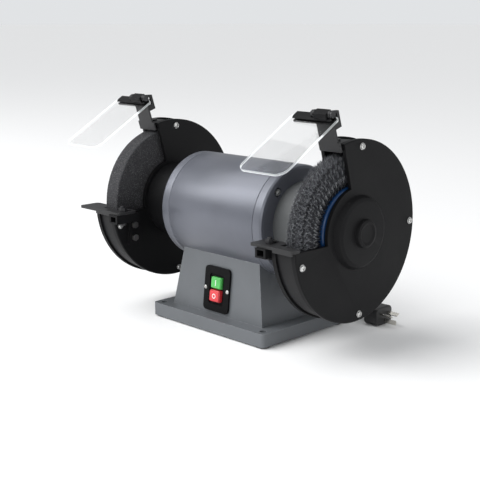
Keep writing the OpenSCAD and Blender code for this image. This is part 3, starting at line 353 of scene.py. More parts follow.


# clear sheet: faint green-grey tint, fine scratches in the gloss and frosted cut edges, whose pale colour also glows
# as painted light although they are no lamp
def paneMaterial(name, look):
    material, tree, shader = newMaterial(name, 0.0, Transmission_Weight=1.0, IOR=look["bend"])
    place = addNode(tree, "ShaderNodeTexCoord")
    stretch = addNode(tree, "ShaderNodeMapping", values={"Scale": look["stretch"], "Rotation": (0.0, 0.0, 0.5)})
    tree.links.new(place.outputs["Object"], stretch.inputs["Vector"])
    scratches = addNode(tree, "ShaderNodeTexNoise", values={"Scale": 1.0, "Detail": 5.0})
    tree.links.new(stretch.outputs["Vector"], scratches.inputs["Vector"])
    edge = addNode(tree, "ShaderNodeAttribute", {"attribute_name": "rim"})
    rough = scaleRange(tree, scratches.outputs["Fac"], look["rough"][0], look["rough"][1], 0.5, 0.8)
    frosted = addMath(tree, "MULTIPLY", edge.outputs["Fac"], look["frost"])
    tree.links.new(addMath(tree, "ADD", rough, frosted, True), shader.inputs["Roughness"])
    tree.links.new(mixColours(tree, edge.outputs["Fac"], look["tint"], look["rim"]), shader.inputs["Base Color"])
    # painted glow: the rim faces emit their pale rim colour, standing in for light caught in the cut edges
    glow = mixColours(tree, edge.outputs["Fac"], (0.0, 0.0, 0.0), look["rim"])
    tree.links.new(glow, shader.inputs["Emission Color"])
    shader.inputs["Emission Strength"].default_value = look["glow"]
    path = addNode(tree, "ShaderNodeLightPath")
    cover = scaleRange(tree, edge.outputs["Fac"], look["face"], 1, 0, 1)
    lit = addMath(tree, "SUBTRACT", 1.0, path.outputs["Is Shadow Ray"])
    cover = addMath(tree, "MULTIPLY", cover, lit)
    shade = addMath(tree, "MULTIPLY", path.outputs["Is Shadow Ray"], look["shade"])
    tree.links.new(addMath(tree, "ADD", cover, shade), shader.inputs["Alpha"])
    return material


paints = {
    "motorPaint": {"dark": (0.118, 0.125, 0.148), "light": (0.140, 0.148, 0.176), "bare": (0.34, 0.35, 0.37),
                   "patch": 14.0, "peel": 1400.0, "relief": 0.10, "rough": (0.32, 0.42), "edge": 0.0007,
                   "worn": 0.35, "metallic": 0.36, "plain": {"Coat_Weight": 0.10, "Coat_Roughness": 0.38}},
    "castPaint": {"dark": (0.128, 0.137, 0.147), "light": (0.150, 0.160, 0.172), "bare": (0.36, 0.37, 0.38),
                  "patch": 16.0, "peel": 900.0, "relief": 0.22, "rough": (0.42, 0.54), "edge": 0.0012,
                  "worn": 0.8, "metallic": 0.2},
    "guardPaint": {"dark": (0.0052, 0.0052, 0.0058), "light": (0.0072, 0.0072, 0.0079), "bare": (0.035, 0.035, 0.037),
                   "patch": 20.0, "peel": 1700.0, "relief": 0.20, "rough": (0.48, 0.60), "edge": 0.0006, "worn": 0.5,
                   "plain": {"Specular_IOR_Level": 0.15}},
    "hoopPaint": {"dark": (0.0085, 0.0085, 0.0094), "light": (0.0120, 0.0120, 0.0132), "bare": (0.05, 0.05, 0.052),
                  "patch": 20.0, "peel": 1700.0, "relief": 0.20, "rough": (0.48, 0.60), "edge": 0.0006, "worn": 0.5,
                  "plain": {"Specular_IOR_Level": 0.22}},
    "fittingPaint": {"dark": (0.017, 0.017, 0.018), "light": (0.023, 0.023, 0.0245), "bare": (0.10, 0.10, 0.105),
                     "patch": 30.0, "peel": 1500.0, "relief": 0.18, "rough": (0.42, 0.54), "edge": 0.0006,
                     "worn": 0.6, "plain": {"Specular_IOR_Level": 0.35}},
    "neckPaint": {"dark": (0.080, 0.084, 0.086), "light": (0.094, 0.098, 0.100), "bare": (0.22, 0.22, 0.22),
                  "patch": 16.0, "peel": 1100.0, "relief": 0.15, "rough": (0.50, 0.62), "edge": 0.0007, "worn": 0.4,
                  "plain": {"Specular_IOR_Level": 0.30}},
    "blueEnamel": {"dark": (0.003, 0.034, 0.115), "light": (0.005, 0.046, 0.150), "bare": (0.10, 0.16, 0.30),
                   "patch": 30.0, "peel": 1100.0, "relief": 0.08, "rough": (0.28, 0.38), "edge": 0.0005,
                   "worn": 0.4, "plain": {"Coat_Weight": 0.2}},
    "coverSteel": {"dark": (0.20, 0.205, 0.21), "light": (0.25, 0.255, 0.26), "bare": (0.40, 0.40, 0.40),
                   "patch": 25.0, "peel": 1200.0, "relief": 0.1, "rough": (0.4, 0.5), "edge": 0.0006, "worn": 0.3,
                   "metallic": 0.6},
}
metals = {
    "zinc": {"dark": (0.55, 0.55, 0.54), "light": (0.78, 0.78, 0.77), "rough": (0.22, 0.38),
             "stretch": (900.0, 900.0, 900.0)},
    "oiledSteel": {"dark": (0.20, 0.195, 0.19), "light": (0.32, 0.315, 0.31), "rough": (0.30, 0.46),
                   "stretch": (700.0, 700.0, 700.0)},
    "blackOxide": {"dark": (0.022, 0.022, 0.024), "light": (0.045, 0.045, 0.048), "rough": (0.34, 0.50),
                   "stretch": (700.0, 700.0, 700.0), "metallic": 0.5},
    "turnedSteel": {"dark": (0.48, 0.48, 0.49), "light": (0.62, 0.62, 0.63), "rough": (0.20, 0.36),
                    "stretch": (3000.0, 40.0, 40.0)},
    "sheetStack": {"dark": (0.18, 0.185, 0.20), "light": (0.26, 0.265, 0.28), "rough": (0.40, 0.60),
                   "stretch": (2200.0, 15.0, 15.0)},
    "copper": {"dark": (0.34, 0.12, 0.05), "light": (0.52, 0.20, 0.08), "rough": (0.30, 0.45),
               "stretch": (30.0, 900.0, 900.0)},
    "nickel": {"dark": (0.60, 0.58, 0.53), "light": (0.75, 0.73, 0.68), "rough": (0.16, 0.28),
               "stretch": (60.0, 1400.0, 1400.0)},
}
mouldings = {
    "switchBlack": {"dark": (0.0048, 0.0048, 0.0052), "light": (0.0070, 0.0070, 0.0075), "skin": 2200.0,
                    "rough": (0.44, 0.56), "relief": 0.12, "plain": {"Specular_IOR_Level": 0.08}},
    "caseBlack": {"dark": (0.014, 0.014, 0.015), "light": (0.019, 0.019, 0.020), "skin": 1800.0,
                  "rough": (0.50, 0.62), "relief": 0.2},
    "greenPlastic": {"dark": (0.060, 0.420, 0.075), "light": (0.085, 0.500, 0.100), "skin": 2000.0,
                     "rough": (0.26, 0.36), "relief": 0.06, "plain": {"Coat_Weight": 0.2}},
    "redPlastic": {"dark": (0.640, 0.030, 0.040), "light": (0.740, 0.045, 0.055), "skin": 2000.0,
                   "rough": (0.26, 0.36), "relief": 0.06, "plain": {"Coat_Weight": 0.2}},
    "whiteMark": {"dark": (0.78, 0.80, 0.78), "light": (0.86, 0.87, 0.86), "skin": 2500.0,
                  "rough": (0.35, 0.45), "relief": 0.05},
    "cordSheath": {"dark": (0.013, 0.013, 0.014), "light": (0.018, 0.018, 0.019), "skin": 1500.0,
                   "rough": (0.38, 0.50), "relief": 0.1},
    "plugMoulding": {"dark": (0.015, 0.015, 0.016), "light": (0.021, 0.021, 0.022), "skin": 2400.0,
                     "rough": (0.36, 0.50), "relief": 0.2},
    "footRubber": {"dark": (0.016, 0.016, 0.016), "light": (0.024, 0.024, 0.024), "skin": 1500.0,
                   "rough": (0.65, 0.8), "relief": 0.3},
    "capacitorCan": {"dark": (0.03, 0.032, 0.036), "light": (0.042, 0.045, 0.05), "skin": 1500.0,
                     "rough": (0.3, 0.42), "relief": 0.08},
    "nylon": {"dark": (0.62, 0.58, 0.47), "light": (0.72, 0.69, 0.58), "skin": 1500.0,
              "rough": (0.42, 0.55), "relief": 0.1},
    "blotterPaper": {"dark": (0.32, 0.27, 0.17), "light": (0.42, 0.37, 0.25), "skin": 900.0,
                     "rough": (0.75, 0.9), "relief": 0.5},
}
finishes = {name: paintMaterial(name, look) for name, look in paints.items()}
finishes |= {name: metalMaterial(name, look) for name, look in metals.items()}
finishes |= {name: mouldedMaterial(name, look) for name, look in mouldings.items()}
finishes["grit"] = gritMaterial("grit", {
    "grain": 1500.0, "pore": 900.0, "patch": 28.0, "dark": (0.020, 0.020, 0.022), "light": (0.052, 0.052, 0.056),
    "fleck": (0.13, 0.13, 0.135), "dust": (0.055, 0.055, 0.059), "rough": (0.55, 0.95), "relief": 0.9})
# wire colours: deep painted shade, mid grey and near-white painted glint
finishes["steelWireGlintShade"] = wireGlintShadeMaterial("steelWireGlintShade", {
    "dark": (0.013, 0.0135, 0.016), "middle": (0.180, 0.187, 0.210), "bright": (0.94, 0.97, 1.0),
    "stops": (0.15, 0.62), "metallic": 0.6, "rough": (0.28, 0.5)})
# clear sheet: its pale rim colour glows at this strength as painted light
finishes["clearSheet"] = paneMaterial("clearSheet", {
    "bend": 1.12, "tint": (0.985, 0.99, 0.99), "rim": (0.90, 0.94, 0.95), "glow": 0.35, "face": 0.16, "shade": 0.12,
    "stretch": (260.0, 30.0, 30.0), "rough": (0.0, 0.05), "frost": 0.3})
print("materials made:", len(finishes))

# helpers that turn a mesh under construction into a named piece


# distances in metres that count as one point, and the angle in degrees that counts as one flat face
joins = {"drawn": 1e-6, "solid": 2e-6, "flat": 0.6}


# lowest corner, highest corner, middle and span of a CAD node
def size(node):
    low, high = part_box(node)
    return low, high, (low + high) / 2, high - low


def newPiece(name, bm, finish, body="machine", nodes=(), smooth=32.0):
    bmesh.ops.remove_doubles(bm, verts=bm.verts, dist=joins["drawn"])
    bmesh.ops.recalc_face_normals(bm, faces=bm.faces)
    mesh = bpy.data.meshes.new(name)
    bm.to_mesh(mesh)
    bm.free()
    mesh.shade_smooth()
    mesh.set_sharp_from_angle(angle=math.radians(smooth))
    mesh.materials.append(finishes[finish])
    piece = bpy.data.objects.new(name, mesh)
    bpy.context.scene.collection.objects.link(piece)
    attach(piece, body)
    if nodes:
        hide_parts(*nodes)
    return piece


# closed outline of points, turned once round an axis
def spinOutline(bm, places, centre, axis, steps):
    points = [bm.verts.new(place) for place in places]
    lines = [bm.edges.new(pair) for pair in zip(points, points[1:] + points[:1])]
    bmesh.ops.spin(
        bm, geom=points + lines, cent=centre, axis=axis, angle=2 * math.pi, steps=steps, use_merge=True)


# ring of revolution about the spindle, from (x, radius) points in metres
def lathe(profile, steps):
    bm = bmesh.new()
    places = [(x, 0, axisZ + radius) for x, radius in profile]
    spinOutline(bm, places, (0, 0, axisZ), (1, 0, 0), steps)
    bmesh.ops.remove_doubles(bm, verts=bm.verts, dist=joins["drawn"])
    bmesh.ops.recalc_face_normals(bm, faces=bm.faces)
    return bm


# ring whose two sides are alike, from one side's outline measured from the node's middle plane
def latheEven(node, side, steps):
    middle = size(node)[2].x
    profile = [(middle + x, radius) for x, radius in side]
    profile += [(middle - x, radius) for x, radius in reversed(side)]
    return lathe(profile, steps)


# next ring grown from a loop of edges, with its points and its own edges
def growRing(bm, edges):
    grown = bmesh.ops.extrude_edge_only(bm, edges=edges)["geom"]
    ring = [item for item in grown if isinstance(item, bmesh.types.BMVert)]
    edges = [item for item in grown if isinstance(item, bmesh.types.BMEdge)
             and item.verts[0] in ring and item.verts[1] in ring]
    return ring, edges


def roundEdges(bm, width, segments, sharper=28.0):
    edges = [edge for edge in bm.edges
             if len(edge.link_faces) == 2 and edge.calc_face_angle(0) > math.radians(sharper)]
    bmesh.ops.bevel(
        bm, geom=edges, offset=width, offset_type="OFFSET", affect="EDGES", segments=segments,
        profile=0.5, material=-1, clamp_overlap=True)


# copy of a CAD solid's mesh, with its split corners joined
def copyMesh(node):
    bm = bmesh.new()
    bm.from_mesh(frame["nodes"][node].data)
    bmesh.ops.remove_doubles(bm, verts=bm.verts, dist=joins["solid"])
    return bm


# the same copy, with its triangles joined into flat faces
def copyFaces(node):
    bm = copyMesh(node)
    bmesh.ops.dissolve_limit(
        bm, angle_limit=math.radians(joins["flat"]), use_dissolve_boundaries=False, verts=bm.verts, edges=bm.edges,
        delimit={"NORMAL"})
    return bm


# the CAD solid's own shape with rounded corners
def softened(node, finish, width, segments, sharper=30.0):
    piece = newPiece(camelName(node), copyFaces(node), finish, bodyOf(node), (node,))
    corner = piece.modifiers.new("corner", "BEVEL")
    corner.width = width
    corner.segments = segments
    corner.limit_method = "ANGLE"
    corner.angle_limit = math.radians(sharper)
    corner.harden_normals = True
    corner.miter_outer = "MITER_ARC"
    return piece


# CAD node's name in the script's own style
def camelName(node):
    first, *rest = node.split("_")
    return first + "".join(word.capitalize() for word in rest)


def bodyOf(node):
    return next(body for body, members in frame["record"]["behaviour"]["bodies"].items() if node in members)


# mains cord: out of the gland, round the coil behind the base, then across to the plug

cord = {
    "thick": 0.007,
    "lead": [
        (0.026, 0.086, 0.034), (0.026, 0.093, 0.0335), (0.026, 0.100, 0.032), (0.026, 0.106, 0.0285),
        (0.026, 0.112, 0.0235), (0.026, 0.117, 0.0175), (0.026, 0.122, 0.0115), (0.026, 0.128, 0.007),
        (0.026, 0.135, 0.0045), (0.026, 0.143, 0.0043), (0.024, 0.152, 0.0043), (0.020, 0.161, 0.0043),
        (0.013, 0.169, 0.0043), (0.004, 0.175, 0.0043), (-0.006, 0.179, 0.0043), (-0.016, 0.181, 0.0043)],
    "tail": [
        (-0.030, 0.095, 0.0183), (-0.020, 0.095, 0.018), (-0.010, 0.095, 0.0165), (0.0, 0.095, 0.014),
        (0.010, 0.094, 0.011), (0.020, 0.093, 0.0075), (0.030, 0.091, 0.0045), (0.040, 0.089, 0.0035),
        (0.049, 0.088, 0.0035), (0.058, 0.088, 0.0035), (0.067, 0.0895, 0.0035), (0.0755, 0.0935, 0.0045),
        (0.082, 0.100, 0.007), (0.0885, 0.1065, 0.010), (0.0965, 0.1105, 0.0125), (0.106, 0.112, 0.013)],
}
# coil lying flat in two layers: it moves one cord thickness in, out or up at these angles in degrees, each
# move spread over the window
coil = {"centre": (-0.030, 0.139), "floor": 0.0043, "radius": 0.044, "turns": 6, "leaves": 270, "step": 7.5,
        "moves": ((310, -1), (670, -1), (1310, 1), (1670, 1)), "climbs": (990, 1990), "window": 40}


# goes smoothly from 0 to 1 over the coil's window
def ease(turned, start):
    share = min(max((turned - start) / coil["window"], 0), 1)
    return share * share * (3 - 2 * share)


# turns of the coil: in along the bottom, out along the second layer, once more on top
def coilPoints():
    thick = cord["thick"]
    centreX, centreY = coil["centre"]
    first = Vector(cord["lead"][-1])
    startAngle = math.degrees(math.atan2(first.y - centreY, first.x - centreX))
    total = coil["turns"] * 360 + (coil["leaves"] - startAngle)
    points = []
    for step in range(1, int(total / coil["step"])):
        turned = step * coil["step"]
        radius = coil["radius"] + sum(way * thick * ease(turned, at) for at, way in coil["moves"])
        height = coil["floor"] + sum(thick * ease(turned, at) for at in coil["climbs"])
        angle = math.radians(startAngle + turned)
        points.append((centreX + radius * math.cos(angle), centreY + radius * math.sin(angle), height))
    return points


# a smooth line through a route's points, with extra points between them
def smoothRoute(points, between=4):
    line = [Vector(point) for point in points]
    padded = [2 * line[0] - line[1], *line, 2 * line[-1] - line[-2]]
    route = []
    for a, b, c, d in zip(padded, padded[1:], padded[2:], padded[3:]):
        for step in range(between):
            t = step / between
            route.append(0.5 * (2 * b + (c - a) * t + (2 * a - 5 * b + 4 * c - d) * t * t
                                + (3 * b - a - 3 * c + d) * t ** 3))
    route.append(line[-1])
    return route


def makeCord():
    route = smoothRoute(cord["lead"] + coilPoints() + cord["tail"])
    curve = bpy.data.curves.new("mainsCord", "CURVE")
    curve.dimensions = "3D"
    curve.bevel_depth = cord["thick"] / 2
    curve.bevel_resolution = 4
    curve.use_fill_caps = True
    spline = curve.splines.new("POLY")
    spline.points.add(len(route) - 1)
    for point, place in zip(spline.points, route):
        point.co = (*place, 1)
    spline.use_smooth = True
    curve.materials.append(finishes["cordSheath"])
    piece = bpy.data.objects.new("mainsCord", curve)
    bpy.context.scene.collection.objects.link(piece)
    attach(piece, "machine")
    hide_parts("cord_lead", "cord_coil", "cord_tail")
    length = sum((b - a).length for a, b in zip(route, route[1:]))
    return piece, length


cordPiece, cordLength = makeCord()
print("cord length", round(cordLength, 3))


# tapered strain relief with ribs, and the flange nut against the back wall
gland = {"play": 0.00005, "nutInset": 0.0005, "nut": 0.002, "neckR": 0.0068, "outside": 0.0245, "flange": 0.003,
         "plain": 0.004, "ribs": 6, "ribR": 0.0074, "taper": 0.0022, "ribDepth": 0.0007, "tipR": 0.0050, "steps": 40}


def makeGland():
    low, high, _, span = size("cord_gland")
    exitPoint = Vector(cord["lead"][0])
    wall = span.x / 2
    nutR, nutEnd = wall - gland["nutInset"], low.y + gland["nut"]
    tip = high.y
    start = tip - gland["outside"]
    flangeEnd = start + gland["flange"]
    bore = cord["thick"] / 2 + gland["play"]
    outline = [(low.y, bore), (low.y, nutR), (nutEnd, nutR), (nutEnd, gland["neckR"]), (start, gland["neckR"]),
               (start, wall), (flangeEnd, wall), (flangeEnd, gland["ribR"])]
    reach = tip - start - gland["plain"]
    for rib in range(gland["ribs"]):
        along = start + gland["plain"] + reach * rib / gland["ribs"]
        radius = gland["ribR"] - gland["taper"] * rib / gland["ribs"]
        groove = radius - gland["ribDepth"]
        outline += [(along, radius), (along + reach * 0.09, radius), (along + reach * 0.1, groove),
                    (along + reach * 0.155, groove)]
    outline += [(tip, gland["tipR"]), (tip, bore)]
    bm = bmesh.new()
    places = [(exitPoint.x, along, exitPoint.z + radius) for along, radius in outline]
    spinOutline(bm, places, exitPoint, (0, 1, 0), gland["steps"])
    return newPiece("cordGland", bm, "plugMoulding", nodes=("cord_gland",))


# moulded plug: soft-cornered body with a finger waist and a ribbed boot
plug = {"boot": 0.020, "corner": 0.0065, "rim": 0.0018, "cuts": (0.22, 0.36, 0.5, 0.64, 0.78), "waist": 0.0016,
        "bootMouth": 0.0044, "bootEnd": 0.0069, "bootInset": 0.001, "ribs": 5, "ribR": 0.0046, "flare": 0.0024,
        "rib": ((0, 0), (0.0022, 0.0003), (0.0026, -0.0005), (0.0034, -0.0004)), "steps": 36}


def makePlug():
    low, _, middle, span = size("plug_body")
    boot = plug["boot"]
    back, length = low.x + boot, span.x - boot
    bm = bmesh.new()
    bmesh.ops.create_cube(
        bm, size=1, matrix=Matrix.Translation((back + length / 2, middle.y, middle.z))
        @ Matrix.Diagonal((length, span.y, span.z, 1)))
    along = [edge for edge in bm.edges if abs(edge.verts[0].co.x - edge.verts[1].co.x) > 0.01]
    bmesh.ops.bevel(bm, geom=along, offset=plug["corner"], affect="EDGES", segments=6, profile=0.5, material=-1)
    rims = [edge for edge in bm.edges if edge.calc_face_angle(0) > math.radians(60)]
    bmesh.ops.bevel(bm, geom=rims, offset=plug["rim"], affect="EDGES", segments=3, profile=0.5, material=-1)
    for cut in plug["cuts"]:
        geometry = bm.verts[:] + bm.edges[:] + bm.faces[:]
        bmesh.ops.bisect_plane(bm, geom=geometry, plane_co=(back + length * cut, 0, 0), plane_no=(1, 0, 0))
    for vert in bm.verts:
        share = (vert.co.x - low.x - boot) / length
        pinch = 1 - plug["waist"] * math.sin(math.pi * min(max(share, 0), 1)) / (span.y / 2)
        vert.co.y = middle.y + (vert.co.y - middle.y) * pinch
    body = newPiece("plugBody", bm, "plugMoulding", nodes=("plug_body",))
    inset = plug["bootInset"]
    outline = [(low.x, cord["thick"] / 2), (low.x, plug["bootMouth"])]
    for rib in range(plug["ribs"]):
        at = low.x + inset + (boot - 2 * inset) * rib / plug["ribs"]
        radius = plug["ribR"] + plug["flare"] * (rib + 0.5) / plug["ribs"]
        outline += [(at + x, radius + rise) for x, rise in plug["rib"]]
    outline += [(back + inset, plug["bootEnd"]), (back + inset, cord["thick"] / 2)]
    bm = bmesh.new()
    places = [(at, middle.y, middle.z + radius) for at, radius in outline]
    spinOutline(bm, places, middle, (1, 0, 0), plug["steps"])
    boots = newPiece("plugBoot", bm, "plugMoulding")
    pins = softened("plug_pins", "nickel", 0.0004, 3)
    return body, boots, pins


glandPiece = makeGland()
plugPieces = makePlug()
tiePiece = softened("cord_tie", "caseBlack", 0.0008, 3)
print("gland, plug and tie made")


# grinding wheel: bonded grit, with its tread and corners broken up a little
stone = {"steps": 300, "sides": (0.00805, 0.037, 0.048, 0.058, 0.067, 0.075, 0.082, 0.088, 0.093, 0.097),
         "corner": 0.0008, "bands": 10, "rough": 0.00025, "roughFrom": 0.045, "seed": 4}


def makeStone():
    random.seed(stone["seed"])
    low, high, middle, span = size("grinding_wheel")
    rim = span.z / 2
    sides = [*stone["sides"], rim - stone["corner"]]
    tread = [low.x + stone["corner"] + (span.x - 2 * stone["corner"]) * band / stone["bands"]
             for band in range(stone["bands"] + 1)]
    profile = [(low.x, radius) for radius in sides] + [(x, rim) for x in tread]
    profile += [(high.x, radius) for radius in reversed(sides)]
    bm = lathe(profile, stone["steps"])
    for vert in bm.verts:
        fromAxis = Vector((0, vert.co.y, vert.co.z - axisZ))
        if fromAxis.length < stone["roughFrom"]:
            continue
        vert.co -= fromAxis.normalized() * random.uniform(0, stone["rough"])
        vert.co.x += (middle.x - vert.co.x) / span.x * random.uniform(0, stone["rough"])
    newPiece("grindingWheel", bm, "grit", "rotor", ("grinding_wheel",), smooth=50)


# wire wheel: crimped wires in tufts, repeated round the hub, over a core painted dark as the shade deep among the
# wires
bristles = {"layers": (60, 57, 63, 59, 61), "wires": 70, "thick": 0.00024, "joints": 7, "root": 0.0535,
            "stagger": 0.030, "uneven": 0.0028, "tip": 0.0996, "crown": 0.0022, "crimp": 0.0017, "sweep": 0.13,
            "waves": (3.5, 5.5), "rootHalf": 0.0092, "tipHalf": 0.0112, "stray": 0.0005, "paintedShadeBias": 1.15, "seed": 9}


# one crimped wire from the hub outwards, whose joints each get a random painted shade or painted glint
def addWire(bm, tint, centre, spread):
    lean = random.uniform(-0.5, 0.5) * spread
    sweep = random.gauss(0, bristles["sweep"])
    share = random.uniform(-1, 1)
    reach = bristles["tip"] - abs(random.gauss(0, bristles["uneven"])) - bristles["crown"] * share ** 4
    start = bristles["root"] + random.uniform(0, bristles["stagger"])
    phase, waves = random.uniform(0, 2 * math.pi), random.uniform(*bristles["waves"])
    widest = bristles["tipHalf"] + bristles["stray"]
    for joint in range(bristles["joints"] + 1):
        along = joint / bristles["joints"]
        radius = start + (reach - start) * along
        outward = (radius - bristles["root"]) / (bristles["tip"] - bristles["root"])
        half = bristles["rootHalf"] + (bristles["tipHalf"] - bristles["rootHalf"]) * min(outward * 1.5, 1)
        wave = bristles["crimp"] * min(along * 3, 1)
        x = centre + share * half + wave * math.sin(phase + waves * math.pi * along)
        x = min(max(x, centre - widest), centre + widest)
        angle = lean + sweep * along + wave / radius * math.cos(phase * 1.7 + waves * math.pi * along)
        place = Vector((x, radius * math.sin(angle), axisZ + radius * math.cos(angle)))
        if joint == 0:
            ring = bmesh.ops.create_circle(
                bm, segments=3, radius=bristles["thick"], cap_ends=True, matrix=Matrix.Translation(place))["verts"]
            edges = list({edge for vert in ring for edge in vert.link_edges})
        else:
            ring, edges = growRing(bm, edges)
            bmesh.ops.translate(bm, verts=ring, vec=place - last)
        # painted light: a random value from deep shade to bright glint, weighted towards shade by the exponent
        shade = random.random() ** bristles["paintedShadeBias"]
        for vert in ring:
            vert[tint] = shade
        last = place
    bmesh.ops.scale(bm, verts=ring, vec=(0, 0, 0), space=Matrix.Translation(-last))


def makeBristles():
    random.seed(bristles["seed"])
    low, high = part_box("wire_bristles")
    centre = (low.x + high.x) / 2
    for layer, tufts in enumerate(bristles["layers"]):
        bm = bmesh.new()
        tint = bm.verts.layers.float.new("tint")
        for _ in range(bristles["wires"]):
            addWire(bm, tint, centre, 2 * math.pi / tufts)
        bmesh.ops.spin(
            bm, geom=bm.verts[:] + bm.edges[:] + bm.faces[:], cent=(0, 0, axisZ), axis=(1, 0, 0),
            angle=2 * math.pi * (tufts - 1) / tufts, steps=tufts - 1, use_duplicate=True)
        newPiece("wireTufts." + str(layer + 1), bm, "steelWireGlintShade", "rotor", smooth=180)


# packed middle of the wires, as one side's outline; it has no tint, so it takes the wires' darkest colour as painted
# shade
brushShadeCore = {"steps": 96, "side": ((-0.005, 0.048), (-0.005, 0.057), (-0.0062, 0.064), (-0.0070, 0.076),
                                   (-0.0070, 0.086), (-0.005, 0.091))}


def makeBrushShadeCore():
    bm = latheEven("wire_bristles", brushShadeCore["side"], brushShadeCore["steps"])
    newPiece("brushShadeCore", bm, "steelWireGlintShade", "rotor", ("wire_bristles",))


# pressed hub of the wire wheel: blue enamelled rings with a rolled rim and a shallow channel
blueRing = {"steps": 160, "bore": 0.00805, "rim": 0.057, "step": 0.0008, "channel": 0.0008, "gripHalf": 0.005,
            "gripR": 0.048}


def makeBlueRings():
    half, rim = size("brush_rings")[3].x / 2, blueRing["rim"]
    face = half - blueRing["step"]
    sunk = face - blueRing["channel"]
    side = [(half, blueRing["bore"]), (half, 0.0405), (half - 0.0002, 0.0412), (face, 0.0440), (sunk, 0.0452),
            (sunk, 0.0486), (face, 0.0498), (face, 0.0530), (face - 0.0003, 0.0548), (face - 0.0011, 0.0562),
            (face - 0.0022, rim), (blueRing["gripHalf"], rim), (blueRing["gripHalf"], blueRing["gripR"])]
    bm = latheEven("brush_rings", side, blueRing["steps"])
    newPiece("brushRings", bm, "blueEnamel", "rotor", ("brush_rings",), smooth=40)


makeStone()
makeBristles()
makeBrushShadeCore()
makeBlueRings()
print("wheels made")


# motor drum: a rolled shell with softly broken ends
drum = {"wall": 0.0037, "corner": 0.0009, "bulge": 0.3, "steps": 200}


def makeDrum():
    low, high, _, span = size("motor_housing")
    outer, inner, corner = span.z / 2, span.z / 2 - drum["wall"], drum["corner"]
    bulge = drum["bulge"] * corner
    profile = [(low.x, inner), (low.x, outer - corner), (low.x + bulge, outer - bulge), (low.x + corner, outer),
               (high.x - corner, outer), (high.x - bulge, outer - bulge), (high.x, outer - corner), (high.x, inner)]
    bm = lathe(profile, drum["steps"])
    newPiece("motorDrum", bm, "motorPaint", "machine", ("motor_housing",), smooth=40)


makeDrum()
for side in ("left", "right"):
    softened(side + "_end_bell", "motorPaint", 0.0013, 4, sharper=17)
softened("base_casting", "castPaint", 0.0016, 4)
softened("rubber_feet", "footRubber", 0.0008, 3)
print("motor and base made")

# guards, brackets, rests and shield straps keep the solids' own shapes, with rounded sheet edges
sheets = {
    "guard_back": ("guardPaint", 0.0006, 3),
    "guard_hoop": ("hoopPaint", 0.0005, 2), "guard_cover": ("guardPaint", 0.0007, 3),
    "rest_bracket": ("guardPaint", 0.0008, 3), "tool_rest": ("fittingPaint", 0.0009, 3),
    "shield_bracket": ("fittingPaint", 0.0006, 3), "shield_clamp": ("guardPaint", 0.0009, 3),
}
singles = {
    "switch_plate": ("switchBlack", 0.0007, 3), "rest_clamp_bolts": ("blackOxide", 0.0005, 2),
    "rest_bracket_bolts": ("oiledSteel", 0.0005, 2), "shield_fasteners": ("blackOxide", 0.0004, 2),
    "tie_bolts": ("zinc", 0.0004, 2), "spindle_nuts": ("zinc", 0.0006, 2),
}
for name, (finish, width, segments) in sheets.items():
    for side in ("left", "right"):
        softened(side + "_" + name, finish, width, segments, sharper=24)
for side, finish in (("left", "guardPaint"), ("right", "neckPaint")):
    softened(side + "_guard_neck", finish, 0.0010, 3, sharper=24)
for node, (finish, width, segments) in singles.items():
    softened(node, finish, width, segments)
print("guards, rests and straps made")


# clear panes: polished faces inside a softly rounded rim, which the clear sheet makes brighter with a painted glow
pane = {"round": 0.0006, "segments": 3, "sharper": 60, "flat": 0.9995}


def makePane(side):
    node = side + "_shield_pane"
    bm = copyFaces(node)
    facing = max(bm.faces, key=lambda face: face.calc_area()).normal.copy()
    roundEdges(bm, pane["round"], pane["segments"], pane["sharper"])
    rim = bm.faces.layers.float.new("rim")
    for face in bm.faces:
        face[rim] = 0.0 if abs(face.normal.dot(facing)) > pane["flat"] else 1.0
    newPiece(side + "ShieldPane", bm, "clearSheet", side + "_shield", (node,), smooth=50)


for side in ("left", "right"):
    makePane(side)


# lowest and highest corners of each separate solid of a CAD node
def solidsOf(node):
    bm = copyMesh(node)
    left, found = set(bm.verts), []
    while left:
        group, front = set(), [left.pop()]
        while front:
            vert = front.pop()
            group.add(vert)
            for edge in vert.link_edges:
                other = edge.other_vert(vert)
                if other in left:
                    left.discard(other)
                    front.append(other)
        places = [vert.co for vert in group]
        found.append((Vector([min(p[k] for p in places) for k in range(3)]),
                      Vector([max(p[k] for p in places) for k in range(3)])))
    bm.free()
    return sorted(found, key=lambda solid: tuple(solid[0]))


# outline of a cross recess: arms of one length and half width
def crossRadius(angle, arm, half):
    folded = math.radians(abs((math.degrees(angle) + 45) % 90 - 45))
    return arm / math.cos(folded) if arm * math.tan(folded) <= half else half / math.sin(folded)


# stack of rings standing on a base point; a ring's radius is a number or a function of the angle
def addStack(bm, base, outward, rings, segments=32):
    turn = outward.to_track_quat("Z", "Y").to_matrix().to_4x4()
    place = Matrix.Translation(base) @ turn
    radius, height = rings[0]
    ring = bmesh.ops.create_circle(
        bm, segments=segments, radius=radius, cap_ends=True,
        matrix=place @ Matrix.Translation((0, 0, height)))["verts"]
    edges = list({edge for vert in ring for edge in vert.link_edges})
    for radius, height in rings[1:]:
        ring, edges = growRing(bm, edges)
        for vert in ring:
            angle = math.atan2(*((place.inverted() @ vert.co).yx))
            reach = radius(angle) if callable(radius) else radius
            vert.co = place @ Vector((reach * math.cos(angle), reach * math.sin(angle), height))
    bmesh.ops.edgeloop_fill(bm, edges=edges)


# pan head on a plain washer with a cross recess, as shares of the head's radius and height
panHead = {"rings": ((1, 0), (1, 0.2), (0.98, 0.24), (0.86, 0.25), (0.86, 0.55), (0.82, 0.78), (0.70, 0.94),
                     (0.64, 1)), "arm": 0.6, "armHalf": 0.20, "floorArm": 0.7, "floorHalf": 0.14, "floor": 0.30}


